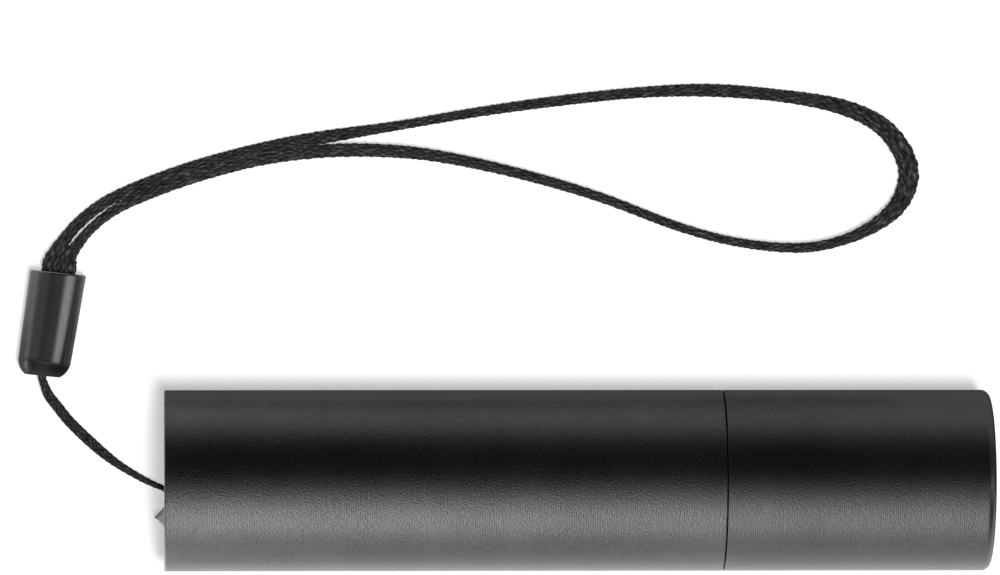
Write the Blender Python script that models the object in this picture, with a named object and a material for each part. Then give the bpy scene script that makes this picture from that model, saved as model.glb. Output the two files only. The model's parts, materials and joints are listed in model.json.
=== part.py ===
"""Rechargeable zoom flashlight with a wrist lanyard, lying on its side.

X runs along the barrel from tail to head and Z is up, with the barrel resting on z = 0.
The origin is the middle of the flashlight's footprint, leaving out the lanyard.
"Reach" values below are distances from the tail rim towards the head.
"""
import math

import bmesh
import bpy
from mathutils import Matrix, Vector

MM = 0.001

# Clearances
FIT = 0.3 * MM
SEAT = 0.1 * MM

# Barrel
BARREL_DIAMETER = 24.0 * MM
BODY_WALL = 2.0 * MM
TAIL_EDGE_ROUND = 0.6 * MM
FRONT_EDGE_ROUND = 1.1 * MM
SEAM_EDGE_BREAK = 0.2 * MM
SEAM_GAP = 0.3 * MM
TAIL_WALL = 1.4 * MM
MOUTH_CHAMFER = 0.3 * MM

# Cell and what is round it
CELL_LENGTH = 50.0 * MM
CELL_EDGE_ROUND = 0.6 * MM
SLEEVE_WALL = 0.3 * MM
SLEEVE_REAR_OVERHANG = 2.4 * MM
SLEEVE_FRONT_OVERHANG = 0.6 * MM
CAP_DIAMETER = 6.0 * MM
CAP_HEIGHT = 1.2 * MM
INSULATOR_THICKNESS = 0.3 * MM
INSULATOR_HOLE_DIAMETER = 7.4 * MM
SPRING_WIRE = 0.8 * MM
SPRING_WIDE_DIAMETER = 11.0 * MM
SPRING_NARROW_DIAMETER = 6.0 * MM
SPRING_TURNS = 3
REAR_SPRING_ROOM = 5.1 * MM
FRONT_SPRING_ROOM = 6.4 * MM

# Tail cover, its lug and the button
RECESS_DEPTH = 2.2 * MM
COVER_THICKNESS = 2.2 * MM
COVER_GROOVE_WIDTH = 1.2 * MM
TAIL_SEAL_SECTION = 0.7 * MM
LUG_WIDTH = 2.8 * MM
LUG_THICKNESS = 2.0 * MM
LUG_REACH = 1.27 * MM
LUG_BESIDE_AXIS = 4.8 * MM
LUG_INSIDE_COVER = 4.1 * MM
LUG_ROOT = 0.8 * MM
EYE_DIAMETER = 1.4 * MM
EYE_REACH = 0.75 * MM
BUTTON_DIAMETER = 10.0 * MM
BUTTON_SETBACK = 0.7 * MM
BUTTON_TRAVEL = 1.5 * MM
BUTTON_EDGE_ROUND = 0.8 * MM
BUTTON_FLANGE_WIDTH = 1.0 * MM
BUTTON_FLANGE_THICKNESS = 0.8 * MM

# Switch module
PLUNGER_DIAMETER = 2.6 * MM
PLUNGER_LENGTH = 3.6 * MM
HOLDER_FLOOR = 0.9 * MM
SWITCH_WIDTH = 8.0 * MM
SWITCH_HEIGHT = 3.6 * MM
SWITCH_ROOM_DIAMETER = 12.4 * MM
BOARD_THICKNESS = 0.8 * MM
HOLDER_WALL = 1.1 * MM
HOLDER_LIP = 0.3 * MM
CONTACT_RING_LENGTH = 0.8 * MM
CONTACT_RING_WIDTH = 2.3 * MM

# Neck
NECK_INSERTION = 5.15 * MM
NECK_WALL = 1.0 * MM
NECK_SLIDE_GAP = 0.4 * MM
NECK_FLANGE_LENGTH = 8.0 * MM
NECK_SHOULDER_HEIGHT = 1.1 * MM
NECK_SHOULDER_LENGTH = 1.0 * MM
NECK_RING_SECTION = 1.0 * MM
NECK_GROOVE_WIDTH = 1.6 * MM
NECK_GROOVE_PITCH = 3.6 * MM
FIRST_GROOVE_OFFSET = 1.4 * MM
BODY_SEAL_SECTION = 0.6 * MM
BODY_SEAL_SETBACK = 1.5 * MM
BODY_SEAL_GROOVE_WIDTH = 1.0 * MM

# Boards and the charging port
PORT_WIDTH = 8.94 * MM
PORT_HEIGHT = 3.26 * MM
PORT_DEPTH = 7.35 * MM
PORT_WALL = 0.35 * MM
PORT_TONGUE_WIDTH = 6.7 * MM
PORT_TONGUE_THICKNESS = 0.7 * MM
PORT_TONGUE_SETBACK = 1.0 * MM
PORT_FLOOR = 0.6 * MM
PORT_ROUND = 1.2 * MM
PORT_SETBACK = 0.2 * MM
BOARD_RING_LENGTH = 1.3 * MM
BOARD_RING_WALL = 1.5 * MM
SPACER_WALL = 0.8 * MM
INDICATOR_SIZE = (0.8 * MM, 1.6 * MM, 0.8 * MM)
INDUCTOR_DIAMETER = 5.0 * MM
INDUCTOR_HEIGHT = 2.4 * MM
CHIP_SIZE = (1.0 * MM, 3.0 * MM, 3.0 * MM)
CAPACITOR_SIZE = (1.2 * MM, 3.2 * MM, 1.6 * MM)

# Light source
PILL_LENGTH = 4.2 * MM
PILL_FLOOR = 2.0 * MM
PILL_WALL = 2.0 * MM
EMITTER_WIDTH = 3.5 * MM
EMITTER_HEIGHT = 0.8 * MM
DOME_DIAMETER = 2.8 * MM
WIRE_DIAMETER = 0.8 * MM
WIRE_BEND = 1.0 * MM
WIRE_END_LENGTH = 0.4 * MM

# Head
HEAD_LENGTH = 35.25 * MM
HEAD_TRAVEL = 8.0 * MM
HEAD_WALL = 1.1 * MM
SNAP_RING_SETBACK = 0.8 * MM
SNAP_RING_THICKNESS = 1.0 * MM
SNAP_GROOVE_DEPTH = 0.4 * MM
SNAP_RING_SLOT = 2.0 * MM
RIB_LENGTH = 1.4 * MM
LENS_BORE_STEP = 0.9 * MM
LENS_EDGE = 2.0 * MM
LENS_PAST_NECK = 4.6 * MM
LENS_FLANGE_WIDTH = 1.0 * MM
LENS_DOME_HEIGHT = 6.0 * MM
LENS_SEAT_WIDTH = 1.1 * MM
LENS_SEAL_SECTION = 0.6 * MM
BEZEL_WALL = 0.7 * MM
BEZEL_SETBACK = 0.3 * MM

# Ferrule, lying on the floor beside the tail
FERRULE_DIAMETER = 7.5 * MM
FERRULE_SHOULDER_DIAMETER = 7.05 * MM
FERRULE_BASE_DIAMETER = 4.4 * MM
FERRULE_LENGTH = 13.9 * MM
FERRULE_ROUND_LENGTH = 1.8 * MM
FERRULE_FLOOR = 3.0 * MM
FERRULE_BORE_DIAMETER = 5.8 * MM
FERRULE_HOLE_DIAMETER = 2.2 * MM
FERRULE_LIP = 0.3 * MM
CORE_LENGTH = 2.8 * MM
FERRULE_BASE_X = -70.35 * MM
FERRULE_BASE_Y = 13.84 * MM
FERRULE_TILT = math.radians(8.8)

# Lanyard
STRAP_TUBE_DIAMETER = 1.2 * MM
STRAP_STEP = 5.4 * MM
STRAP_SPREAD = 1.1 * MM
STRING_DIAMETER = 0.7 * MM
STRING_PAIR_PITCH = 0.85 * MM
STRING_STEP = 1.8 * MM

# Smoothness
OUTER_SEGMENTS = 48
INNER_SEGMENTS = 24
RING_SEGMENTS = 36
SMALL_SEGMENTS = 16
SHARP_ANGLE = math.radians(32.0)
BOOLEAN_MARGIN = 1.0 * MM
MERGE_DISTANCE = 1e-7

# Radii that follow from the sizes above
OUTER_RADIUS = BARREL_DIAMETER / 2
BODY_BORE_RADIUS = OUTER_RADIUS - BODY_WALL
SLEEVE_OUTER_RADIUS = BODY_BORE_RADIUS - FIT
SLEEVE_INNER_RADIUS = SLEEVE_OUTER_RADIUS - SLEEVE_WALL
CELL_RADIUS = SLEEVE_INNER_RADIUS - FIT
TAIL_BORE_RADIUS = OUTER_RADIUS - TAIL_WALL
TAIL_FILL_RADIUS = TAIL_BORE_RADIUS - FIT
COVER_GROOVE_RADIUS = TAIL_FILL_RADIUS - TAIL_SEAL_SECTION - SEAT
LUG_BELOW_AXIS = TAIL_FILL_RADIUS - LUG_INSIDE_COVER
SWITCH_BOARD_RADIUS = TAIL_FILL_RADIUS - HOLDER_WALL - FIT
NECK_RADIUS = BODY_BORE_RADIUS - FIT
NECK_BORE_RADIUS = NECK_RADIUS - NECK_WALL
NECK_FILL_RADIUS = NECK_BORE_RADIUS - FIT
BODY_SEAL_FLOOR_RADIUS = BODY_BORE_RADIUS - BODY_SEAL_SECTION - 2 * SEAT
HEAD_BORE_RADIUS = OUTER_RADIUS - HEAD_WALL
FLANGE_RADIUS = HEAD_BORE_RADIUS - NECK_SLIDE_GAP
NECK_GROOVE_RADIUS = HEAD_BORE_RADIUS - FIT - NECK_RING_SECTION - SEAT
SNAP_GROOVE_RADIUS = HEAD_BORE_RADIUS + SNAP_GROOVE_DEPTH
SNAP_RING_OUTER_RADIUS = SNAP_GROOVE_RADIUS - SEAT
SNAP_RING_INNER_RADIUS = NECK_RADIUS + NECK_SLIDE_GAP
LENS_BORE_RADIUS = HEAD_BORE_RADIUS - LENS_BORE_STEP
LENS_RADIUS = LENS_BORE_RADIUS - FIT
LENS_DOME_RADIUS = LENS_RADIUS - LENS_FLANGE_WIDTH
BUTTON_RADIUS = BUTTON_DIAMETER / 2
BUTTON_FLANGE_RADIUS = BUTTON_RADIUS + BUTTON_FLANGE_WIDTH
PLUNGER_RADIUS = PLUNGER_DIAMETER / 2
SPACER_INNER_RADIUS = NECK_FILL_RADIUS - SPACER_WALL
PARTS_OFFSET = (SPACER_INNER_RADIUS - FIT - INDUCTOR_DIAMETER / 2) * math.sqrt(0.5)
INDICATOR_BESIDE_AXIS = SPACER_INNER_RADIUS - FIT - INDICATOR_SIZE[1] / 2
PORT_MOUTH_HEIGHT = math.sqrt(NECK_RADIUS ** 2 - (PORT_WIDTH / 2) ** 2) - PORT_SETBACK
PILL_CUP_RADIUS = NECK_FILL_RADIUS - PILL_WALL
WIRE_BESIDE_AXIS = PILL_CUP_RADIUS - FIT - WIRE_DIAMETER / 2
LED_BOARD_RADIUS = WIRE_BESIDE_AXIS - WIRE_BEND - WIRE_END_LENGTH - FIT

# Places along the barrel, as reaches from the tail rim
COVER_END = RECESS_DEPTH + COVER_THICKNESS
FLANGE_START = COVER_END + FIT
FLANGE_END = FLANGE_START + BUTTON_FLANGE_THICKNESS
HOLDER_START = COVER_END + SEAT
POCKET_END = FLANGE_END + BUTTON_TRAVEL + FIT
SWITCH_START = POCKET_END + HOLDER_FLOOR + SEAT
SWITCH_END = SWITCH_START + SWITCH_HEIGHT
SWITCH_BOARD_START = SWITCH_END + SEAT
SWITCH_BOARD_END = SWITCH_BOARD_START + BOARD_THICKNESS
HOLDER_END = SWITCH_BOARD_END + HOLDER_LIP
CONTACT_RING_START = HOLDER_END + SEAT
TAIL_BORE_END = CONTACT_RING_START + CONTACT_RING_LENGTH + SEAT
CELL_START = SWITCH_BOARD_END + REAR_SPRING_ROOM
CELL_END = CELL_START + CELL_LENGTH
CAP_END = CELL_END + SEAT + CAP_HEIGHT
SLEEVE_END = CELL_END + SLEEVE_FRONT_OVERHANG
NECK_START = SLEEVE_END + FIT
BODY_LENGTH = NECK_START + NECK_INSERTION
CHARGE_BOARD_START = CAP_END + FRONT_SPRING_ROOM
CHARGE_BOARD_END = CHARGE_BOARD_START + BOARD_THICKNESS
PORT_START = CHARGE_BOARD_END + SEAT
PORT_CENTRE = PORT_START + PORT_HEIGHT / 2
BOARD_GAP = 2 * SEAT + PORT_HEIGHT + FIT + INDUCTOR_HEIGHT
DRIVER_BOARD_START = CHARGE_BOARD_END + BOARD_GAP
DRIVER_BOARD_END = DRIVER_BOARD_START + BOARD_THICKNESS
HEAD_START = BODY_LENGTH + SEAM_GAP
SNAP_RING_END = HEAD_START + SNAP_RING_SETBACK + SNAP_RING_THICKNESS
NECK_FLANGE_START = SNAP_RING_END + HEAD_TRAVEL + FIT
NECK_END = NECK_FLANGE_START + NECK_FLANGE_LENGTH
SHOULDER_START = DRIVER_BOARD_END + SEAT
SHOULDER_END = SHOULDER_START + NECK_SHOULDER_LENGTH
PILL_START = SHOULDER_END + SEAT
PILL_END = PILL_START + PILL_LENGTH
LED_BOARD_END = PILL_END + SEAT + BOARD_THICKNESS
TOTAL_LENGTH = HEAD_START + HEAD_LENGTH
LENS_START = NECK_END + LENS_PAST_NECK
LENS_FLANGE_END = LENS_START + LENS_EDGE
BEZEL_START = LENS_FLANGE_END + SEAT + LENS_SEAL_SECTION + SEAT

# World placing: the lug's tip and the front face are as far from the origin
TAIL_X = (LUG_REACH - TOTAL_LENGTH) / 2
AXIS_Z = OUTER_RADIUS * math.cos(math.pi / OUTER_SEGMENTS)

# Strap route on the floor beyond the ferrule, in millimetres, from its left strand round
# the loop and back to its right strand: x, y and the height of the strap's centre
STRAP_ROUTE = (
    (-68.8, 29.6, 3.2),
    (-67.4, 32.0, 2.1),
    (-65.1, 34.6, 1.5),
    (-61.5, 37.3, 1.5),
    (-56.0, 39.7, 1.5),
    (-49.3, 42.0, 1.5),
    (-41.3, 44.1, 1.5),
    (-33.3, 45.6, 1.45),
    (-22.5, 47.3, 1.5),
    (-11.9, 49.1, 1.5),
    (-1.1, 50.6, 1.5),
    (9.6, 51.7, 1.5),
    (18.9, 52.0, 1.45),
    (28.3, 51.3, 1.45),
    (36.3, 49.9, 1.35),
    (41.7, 47.5, 1.15),
    (44.7, 44.1, 0.95),
    (45.7, 40.7, 0.85),
    (44.6, 37.2, 1.1),
    (41.8, 34.4, 1.35),
    (37.0, 32.0, 1.5),
    (31.0, 30.9, 1.5),
    (22.9, 31.6, 1.55),
    (14.8, 33.7, 1.55),
    (4.1, 37.7, 1.5),
    (-6.5, 40.8, 1.5),
    (-17.2, 43.1, 1.5),
    (-25.2, 43.9, 1.45),
    (-33.3, 43.8, 1.45),
    (-41.3, 42.7, 1.5),
    (-49.3, 40.6, 1.5),
    (-56.0, 38.2, 1.5),
    (-60.6, 36.0, 1.5),
    (-63.8, 33.3, 1.5),
    (-66.1, 30.7, 2.1),
    (-66.9, 29.3, 3.0),
)

# Doubled string between the ferrule and the tail rim: x, y and z of the pair's middle in
# millimetres, and the turn of the pair about its own run in degrees, 90 being one on the other
STRING_ROUTE = (
    (-70.2, 12.95, 3.4, 60.0),
    (-69.5, 11.2, 2.6, 30.0),
    (-68.25, 9.55, 1.5, 10.0),
    (-67.05, 8.0, 0.9, 0.0),
    (-65.55, 6.45, 0.7, 0.0),
    (-63.9, 4.9, 0.7, 0.0),
    (-62.05, 3.3, 0.8, 35.0),
    (-59.95, 1.75, 1.15, 62.0),
    (-57.15, 0.1, 1.9, 78.0),
    (-55.45, -0.7, 2.6, 85.0),
    (-54.15, -1.4, 3.2, 90.0),
)


def clear_scene():
    """Start from an empty scene."""
    for old in list(bpy.data.objects):
        bpy.data.objects.remove(old, do_unlink=True)


def make_material(name, colour, roughness, metallic):
    """One Principled material."""
    material = bpy.data.materials.new(name)
    material.use_nodes = True
    shader = material.node_tree.nodes["Principled BSDF"]
    shader.inputs["Base Color"].default_value = (*colour, 1.0)
    shader.inputs["Roughness"].default_value = roughness
    shader.inputs["Metallic"].default_value = metallic
    material.diffuse_color = (*colour, 1.0)
    return material


def make_frame(name, location, parent=None):
    """An empty that carries pieces."""
    frame = bpy.data.objects.new(name, None)
    frame.location = location
    frame.parent = parent
    bpy.context.scene.collection.objects.link(frame)
    return frame


def add_object(name, data, material, parent, location):
    """Link a mesh or curve as one named piece."""
    piece = bpy.data.objects.new(name, data)
    piece.location = location
    piece.parent = parent
    data.materials.append(material)
    bpy.context.scene.collection.objects.link(piece)
    return piece


def finish_mesh(bm, name):
    """Turn a bmesh into a mesh that is smooth except at its edges."""
    bmesh.ops.remove_doubles(bm, verts=bm.verts, dist=MERGE_DISTANCE)
    bmesh.ops.recalc_face_normals(bm, faces=bm.faces)
    mesh = bpy.data.meshes.new(name)
    bm.to_mesh(mesh)
    bm.free()
    mesh.shade_smooth()
    mesh.set_sharp_from_angle(angle=SHARP_ANGLE)
    return mesh


def turned_mesh(name, outline, segments):
    """Spin an outline of (x, radius) points about X, starting half a facet off the bottom."""
    bm = bmesh.new()
    half_facet = Matrix.Rotation(math.pi / segments, 3, "X")
    points = [bm.verts.new(half_facet @ Vector((x, 0.0, -radius))) for x, radius in outline]
    edges = [bm.edges.new(pair) for pair in zip(points, points[1:])]
    if outline[0][1] > 0.0:
        edges.append(bm.edges.new((points[-1], points[0])))
    bmesh.ops.spin(
        bm, geom=points + edges, cent=(0.0, 0.0, 0.0), axis=(1.0, 0.0, 0.0),
        angle=math.tau, steps=segments, use_merge=True,
    )
    return finish_mesh(bm, name)


def turned(name, outline, material, parent, x, segments=INNER_SEGMENTS):
    """A turned piece on the barrel's axis, x ahead of its frame."""
    return add_object(name, turned_mesh(name, outline, segments), material, parent, (x, 0.0, 0.0))


def disc_outline(length, radius):
    """A plain disc that starts at x = 0."""
    return [(0.0, 0.0), (0.0, radius), (length, radius), (length, 0.0)]


def ring_outline(length, inner, outer):
    """A plain ring that starts at x = 0."""
    return [(0.0, inner), (0.0, outer), (length, outer), (length, inner)]


def quarter(centre, radius, start, steps=4):
    """Points of a quarter circle round (x, radius), from start degrees on, clockwise."""
    points = []
    for step in range(steps + 1):
        angle = math.radians(start - 90.0 * step / steps)
        points.append((centre[0] + radius * math.cos(angle), centre[1] + radius * math.sin(angle)))
    return points


def seal_outline(section, middle, sides=6):
    """The round section of an O-ring, its middle at x = 0."""
    half = section / 2
    turns = [math.tau * (side + 0.5) / sides for side in range(sides)]
    return [(half * math.cos(turn), middle + half * math.sin(turn)) for turn in turns]


def box_mesh(name, size):
    """A box centred on its own origin."""
    bm = bmesh.new()
    bmesh.ops.create_cube(bm, size=1.0, matrix=Matrix.Diagonal((*size, 1.0)))
    return finish_mesh(bm, name)


def add_box(name, size, material, parent, centre):
    """A box placed by its centre."""
    return add_object(name, box_mesh(name, size), material, parent, centre)


def rounded_slot_mesh(name, width, height, depth, corner, steps=4):
    """A prism along Z from z = 0 down: height along X, width along Y, rounded corners."""
    bm = bmesh.new()
    corners = []
    for quadrant, (side_x, side_y) in enumerate(((1, 1), (-1, 1), (-1, -1), (1, -1))):
        for step in range(steps + 1):
            angle = math.radians(90.0 * (quadrant + step / steps))
            x = side_x * (height / 2 - corner) + corner * math.cos(angle)
            y = side_y * (width / 2 - corner) + corner * math.sin(angle)
            corners.append(bm.verts.new((x, y, 0.0)))
    face = bm.faces.new(corners)
    made = bmesh.ops.extrude_face_region(bm, geom=[face])["geom"]
    moved = [item for item in made if isinstance(item, bmesh.types.BMVert)]
    bmesh.ops.translate(bm, verts=moved, vec=(0.0, 0.0, -depth))
    return finish_mesh(bm, name)


def as_cutter(piece):
    """Keep a piece only as a tool for Booleans."""
    piece.hide_render = True
    piece.display_type = "WIRE"
    return piece


def combine(piece, tool, operation):
    """Cut a piece with a tool, or join the tool to it."""
    modifier = piece.modifiers.new(tool.name, "BOOLEAN")
    modifier.operation = operation
    modifier.solver = "EXACT"
    modifier.object = as_cutter(tool)


def drill(piece, name, radius, centre, depth, axis, material, parent):
    """Cut a round hole of a given depth, centred on a point, along X or Z."""
    mesh = turned_mesh(name, disc_outline(depth, radius), SMALL_SEGMENTS)
    tool = add_object(name, mesh, material, parent, centre)
    if axis == "Z":
        tool.rotation_euler = (0.0, -math.pi / 2, 0.0)
        tool.location.z -= depth / 2
    else:
        tool.location.x -= depth / 2
    combine(piece, tool, "DIFFERENCE")


def poly_curve(name, points, diameter, resolution):
    """A round tube with closed ends along a row of points."""
    curve = bpy.data.curves.new(name, "CURVE")
    curve.dimensions = "3D"
    curve.bevel_depth = diameter / 2
    curve.bevel_resolution = resolution
    curve.use_fill_caps = True
    spline = curve.splines.new("POLY")
    spline.points.add(len(points) - 1)
    for point, place in zip(spline.points, points):
        point.co = (*place, 1.0)
    spline.use_smooth = True
    return curve


def smooth_points(route, step):
    """Points at an even step along a smooth curve through the route."""
    ends = [2 * route[0] - route[1]] + list(route) + [2 * route[-1] - route[-2]]
    fine = []
    for before, start, end, after in zip(ends, ends[1:], ends[2:], ends[3:]):
        for index in range(20):
            t = index / 20
            fine.append(0.5 * (
                2 * start + (end - before) * t
                + (2 * before - 5 * start + 4 * end - after) * t ** 2
                + (3 * start - before - 3 * end + after) * t ** 3
            ))
    fine.append(route[-1])
    lengths = [0.0]
    for start, end in zip(fine, fine[1:]):
        lengths.append(lengths[-1] + (end - start).length)
    count = max(2, round(lengths[-1] / step))
    points = []
    index = 0
    for number in range(count + 1):
        wanted = lengths[-1] * number / count
        while index < len(fine) - 2 and lengths[index + 1] < wanted:
            index += 1
        share = (wanted - lengths[index]) / (lengths[index + 1] - lengths[index])
        points.append(fine[index].lerp(fine[index + 1], share))
    return points


def least_self_gap(points, diameter):
    """The least gap between stretches of a tube that lie apart along it."""
    apart = 4.0 * diameter
    lengths = [0.0]
    for start, end in zip(points, points[1:]):
        lengths.append(lengths[-1] + (end - start).length)
    gaps = [
        (points[i] - points[j]).length - diameter
        for i in range(len(points)) for j in range(i) if lengths[i] - lengths[j] > apart
    ]
    return min(gaps)


def spring_points(length, rear_diameter, front_diameter):
    """A conical spring's wire along X, with a flat turn at each end."""
    per_turn = 10
    turns = SPRING_TURNS + 2
    points = []
    for index in range(turns * per_turn + 1):
        turn = index / per_turn
        climb = min(max(turn - 1.0, 0.0), SPRING_TURNS) / SPRING_TURNS
        tuck = 1.3 * SPRING_WIRE * (min(turn, 1.0) - 1.0 + max(turn - turns + 1.0, 0.0))
        rise = 1.3 * SPRING_WIRE + climb * (length - SPRING_WIRE - 2.6 * SPRING_WIRE)
        radius = (rear_diameter + (front_diameter - rear_diameter) * climb - SPRING_WIRE) / 2
        angle = math.tau * turn
        x = SPRING_WIRE / 2 + rise + tuck
        points.append(Vector((x, radius * math.cos(angle), radius * math.sin(angle))))
    return points


def make_body_tube(material, frame):
    """The barrel's rear part: recess and switch room at the tail, then the cell's bore."""
    rounding = quarter((TAIL_EDGE_ROUND, OUTER_RADIUS - TAIL_EDGE_ROUND), TAIL_EDGE_ROUND, 180.0)
    outline = [(MOUTH_CHAMFER, TAIL_BORE_RADIUS), (0.0, TAIL_BORE_RADIUS + MOUTH_CHAMFER)]
    outline += rounding
    outline += [
        (BODY_LENGTH - SEAM_EDGE_BREAK, OUTER_RADIUS),
        (BODY_LENGTH, OUTER_RADIUS - SEAM_EDGE_BREAK),
        (BODY_LENGTH, BODY_BORE_RADIUS),
        (TAIL_BORE_END, BODY_BORE_RADIUS),
        (TAIL_BORE_END, TAIL_BORE_RADIUS),
    ]
    turned("body_tube", outline, material, frame, 0.0, OUTER_SEGMENTS)


def make_lug(material, frame):
    """The peaked lug's solid, from inside the tail cover to its tip behind the rim."""
    bm = bmesh.new()
    half = LUG_WIDTH / 2
    corners = (
        (RECESS_DEPTH + LUG_ROOT, -half),
        (RECESS_DEPTH + LUG_ROOT, half),
        (half - LUG_REACH, half),
        (-LUG_REACH, 0.0),
        (half - LUG_REACH, -half),
    )
    face = bm.faces.new([bm.verts.new((x, y, -LUG_THICKNESS / 2)) for x, y in corners])
    made = bmesh.ops.extrude_face_region(bm, geom=[face])["geom"]
    moved = [item for item in made if isinstance(item, bmesh.types.BMVert)]
    bmesh.ops.translate(bm, verts=moved, vec=(0.0, 0.0, LUG_THICKNESS))
    place = (0.0, -LUG_BESIDE_AXIS, -LUG_BELOW_AXIS)
    return add_object("lug_solid", finish_mesh(bm, "lug_solid"), material, frame, place)


def make_tail_cover(materials, frame):
    """Screwed ring behind the recess, with the lanyard lug and a groove for its seal."""
    hole = BUTTON_RADIUS + FIT
    groove_start = (COVER_THICKNESS - COVER_GROOVE_WIDTH) / 2
    groove_end = groove_start + COVER_GROOVE_WIDTH
    outline = [
        (0.0, hole), (0.0, TAIL_FILL_RADIUS),
        (groove_start, TAIL_FILL_RADIUS), (groove_start, COVER_GROOVE_RADIUS),
        (groove_end, COVER_GROOVE_RADIUS), (groove_end, TAIL_FILL_RADIUS),
        (COVER_THICKNESS, TAIL_FILL_RADIUS), (COVER_THICKNESS, hole),
    ]
    cover = turned("tail_cover", outline, materials["black"], frame, RECESS_DEPTH)
    combine(cover, make_lug(materials["black"], frame), "UNION")
    eye_centre = (EYE_REACH, -LUG_BESIDE_AXIS, -LUG_BELOW_AXIS)
    depth = LUG_THICKNESS + 2 * BOOLEAN_MARGIN
    drill(cover, "lug_eye", EYE_DIAMETER / 2, eye_centre, depth, "Z", materials["black"], frame)
    seal_middle = COVER_GROOVE_RADIUS + SEAT + TAIL_SEAL_SECTION / 2
    seal = seal_outline(TAIL_SEAL_SECTION, seal_middle)
    seal_x = RECESS_DEPTH + COVER_THICKNESS / 2
    turned("tail_seal_ring", seal, materials["rubber"], frame, seal_x)


def make_button(materials, frame):
    """The push button and its plunger; the frame stands at the button's face."""
    flange_x = FLANGE_START - BUTTON_SETBACK
    end_x = FLANGE_END - BUTTON_SETBACK
    rounding = quarter((BUTTON_EDGE_ROUND, BUTTON_RADIUS - BUTTON_EDGE_ROUND), BUTTON_EDGE_ROUND, 180.0)
    outline = [(0.0, 0.0)] + rounding + [
        (flange_x, BUTTON_RADIUS), (flange_x, BUTTON_FLANGE_RADIUS),
        (end_x, BUTTON_FLANGE_RADIUS), (end_x, 0.0),
    ]
    turned("tail_button", outline, materials["rubber"], frame, 0.0)
    plunger = disc_outline(PLUNGER_LENGTH, PLUNGER_RADIUS)
    turned("switch_plunger", plunger, materials["plastic"], frame, end_x + SEAT, SMALL_SEGMENTS)


def make_switch(materials, frame):
    """Holder, switch, its board and the ring that contacts the body tube."""
    pocket = BUTTON_FLANGE_RADIUS + FIT
    hole = PLUNGER_RADIUS + FIT
    room = SWITCH_ROOM_DIAMETER / 2
    board = SWITCH_BOARD_RADIUS
    steps = (
        (HOLDER_START, pocket), (POCKET_END, pocket), (POCKET_END, hole),
        (SWITCH_START - SEAT, hole), (SWITCH_START - SEAT, room),
        (SWITCH_BOARD_START - SEAT, room), (SWITCH_BOARD_START - SEAT, board + FIT),
        (HOLDER_END, board + FIT), (HOLDER_END, TAIL_FILL_RADIUS), (HOLDER_START, TAIL_FILL_RADIUS),
    )
    outline = [(x - HOLDER_START, radius) for x, radius in steps]
    turned("switch_holder", outline, materials["plastic"], frame, HOLDER_START)
    size = (SWITCH_HEIGHT, SWITCH_WIDTH, SWITCH_WIDTH)
    centre = (SWITCH_START + SWITCH_HEIGHT / 2, 0.0, 0.0)
    switch = add_box("switch_body", size, materials["plastic"], frame, centre)
    plunger_end = FLANGE_END + SEAT + PLUNGER_LENGTH + BUTTON_TRAVEL + FIT
    depth = 2 * (plunger_end - SWITCH_START)
    mouth = (SWITCH_START, 0.0, 0.0)
    drill(switch, "plunger_hole", hole, mouth, depth, "X", materials["plastic"], frame)
    disc = disc_outline(BOARD_THICKNESS, board)
    turned("switch_board", disc, materials["board"], frame, SWITCH_BOARD_START)
    ring = ring_outline(CONTACT_RING_LENGTH, TAIL_FILL_RADIUS - CONTACT_RING_WIDTH, TAIL_FILL_RADIUS)
    turned("switch_contact_ring", ring, materials["brass"], frame, CONTACT_RING_START)


def make_cell(materials, frame):
    """The cell in its sleeve, its positive cap and washer, and the springs at both ends."""
    rear = quarter((CELL_EDGE_ROUND, CELL_RADIUS - CELL_EDGE_ROUND), CELL_EDGE_ROUND, 180.0)
    front_centre = (CELL_LENGTH - CELL_EDGE_ROUND, CELL_RADIUS - CELL_EDGE_ROUND)
    front = quarter(front_centre, CELL_EDGE_ROUND, 90.0)
    outline = [(0.0, 0.0)] + rear + front + [(CELL_LENGTH, 0.0)]
    turned("battery_cell", outline, materials["cell"], frame, CELL_START)
    cap = disc_outline(CAP_HEIGHT, CAP_DIAMETER / 2)
    turned("battery_positive_cap", cap, materials["nickel"], frame, CELL_END + SEAT, SMALL_SEGMENTS)
    washer_outer = CELL_RADIUS - CELL_EDGE_ROUND
    washer = ring_outline(INSULATOR_THICKNESS, INSULATOR_HOLE_DIAMETER / 2, washer_outer)
    turned("battery_insulator_ring", washer, materials["paper"], frame, CELL_END + SEAT)
    sleeve_start = CELL_START - SLEEVE_REAR_OVERHANG
    sleeve = ring_outline(SLEEVE_END - sleeve_start, SLEEVE_INNER_RADIUS, SLEEVE_OUTER_RADIUS)
    turned("battery_sleeve", sleeve, materials["paper"], frame, sleeve_start)
    rear_length = REAR_SPRING_ROOM - 2 * FIT
    rear_wire = spring_points(rear_length, SPRING_WIDE_DIAMETER, SPRING_NARROW_DIAMETER)
    front_length = FRONT_SPRING_ROOM - 2 * FIT
    front_wire = spring_points(front_length, SPRING_NARROW_DIAMETER, SPRING_WIDE_DIAMETER)
    springs = (
        ("rear_contact_spring", rear_wire, SWITCH_BOARD_END + FIT),
        ("front_contact_spring", front_wire, CAP_END + FIT),
    )
    for name, wire, x in springs:
        curve = poly_curve(name, wire, SPRING_WIRE, 1)
        add_object(name, curve, materials["nickel"], frame, (x, 0.0, 0.0))


def neck_grooves():
    """The starts of the two O-ring grooves in the neck's flange."""
    first = NECK_FLANGE_START + FIRST_GROOVE_OFFSET
    return [first, first + NECK_GROOVE_PITCH]


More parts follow.
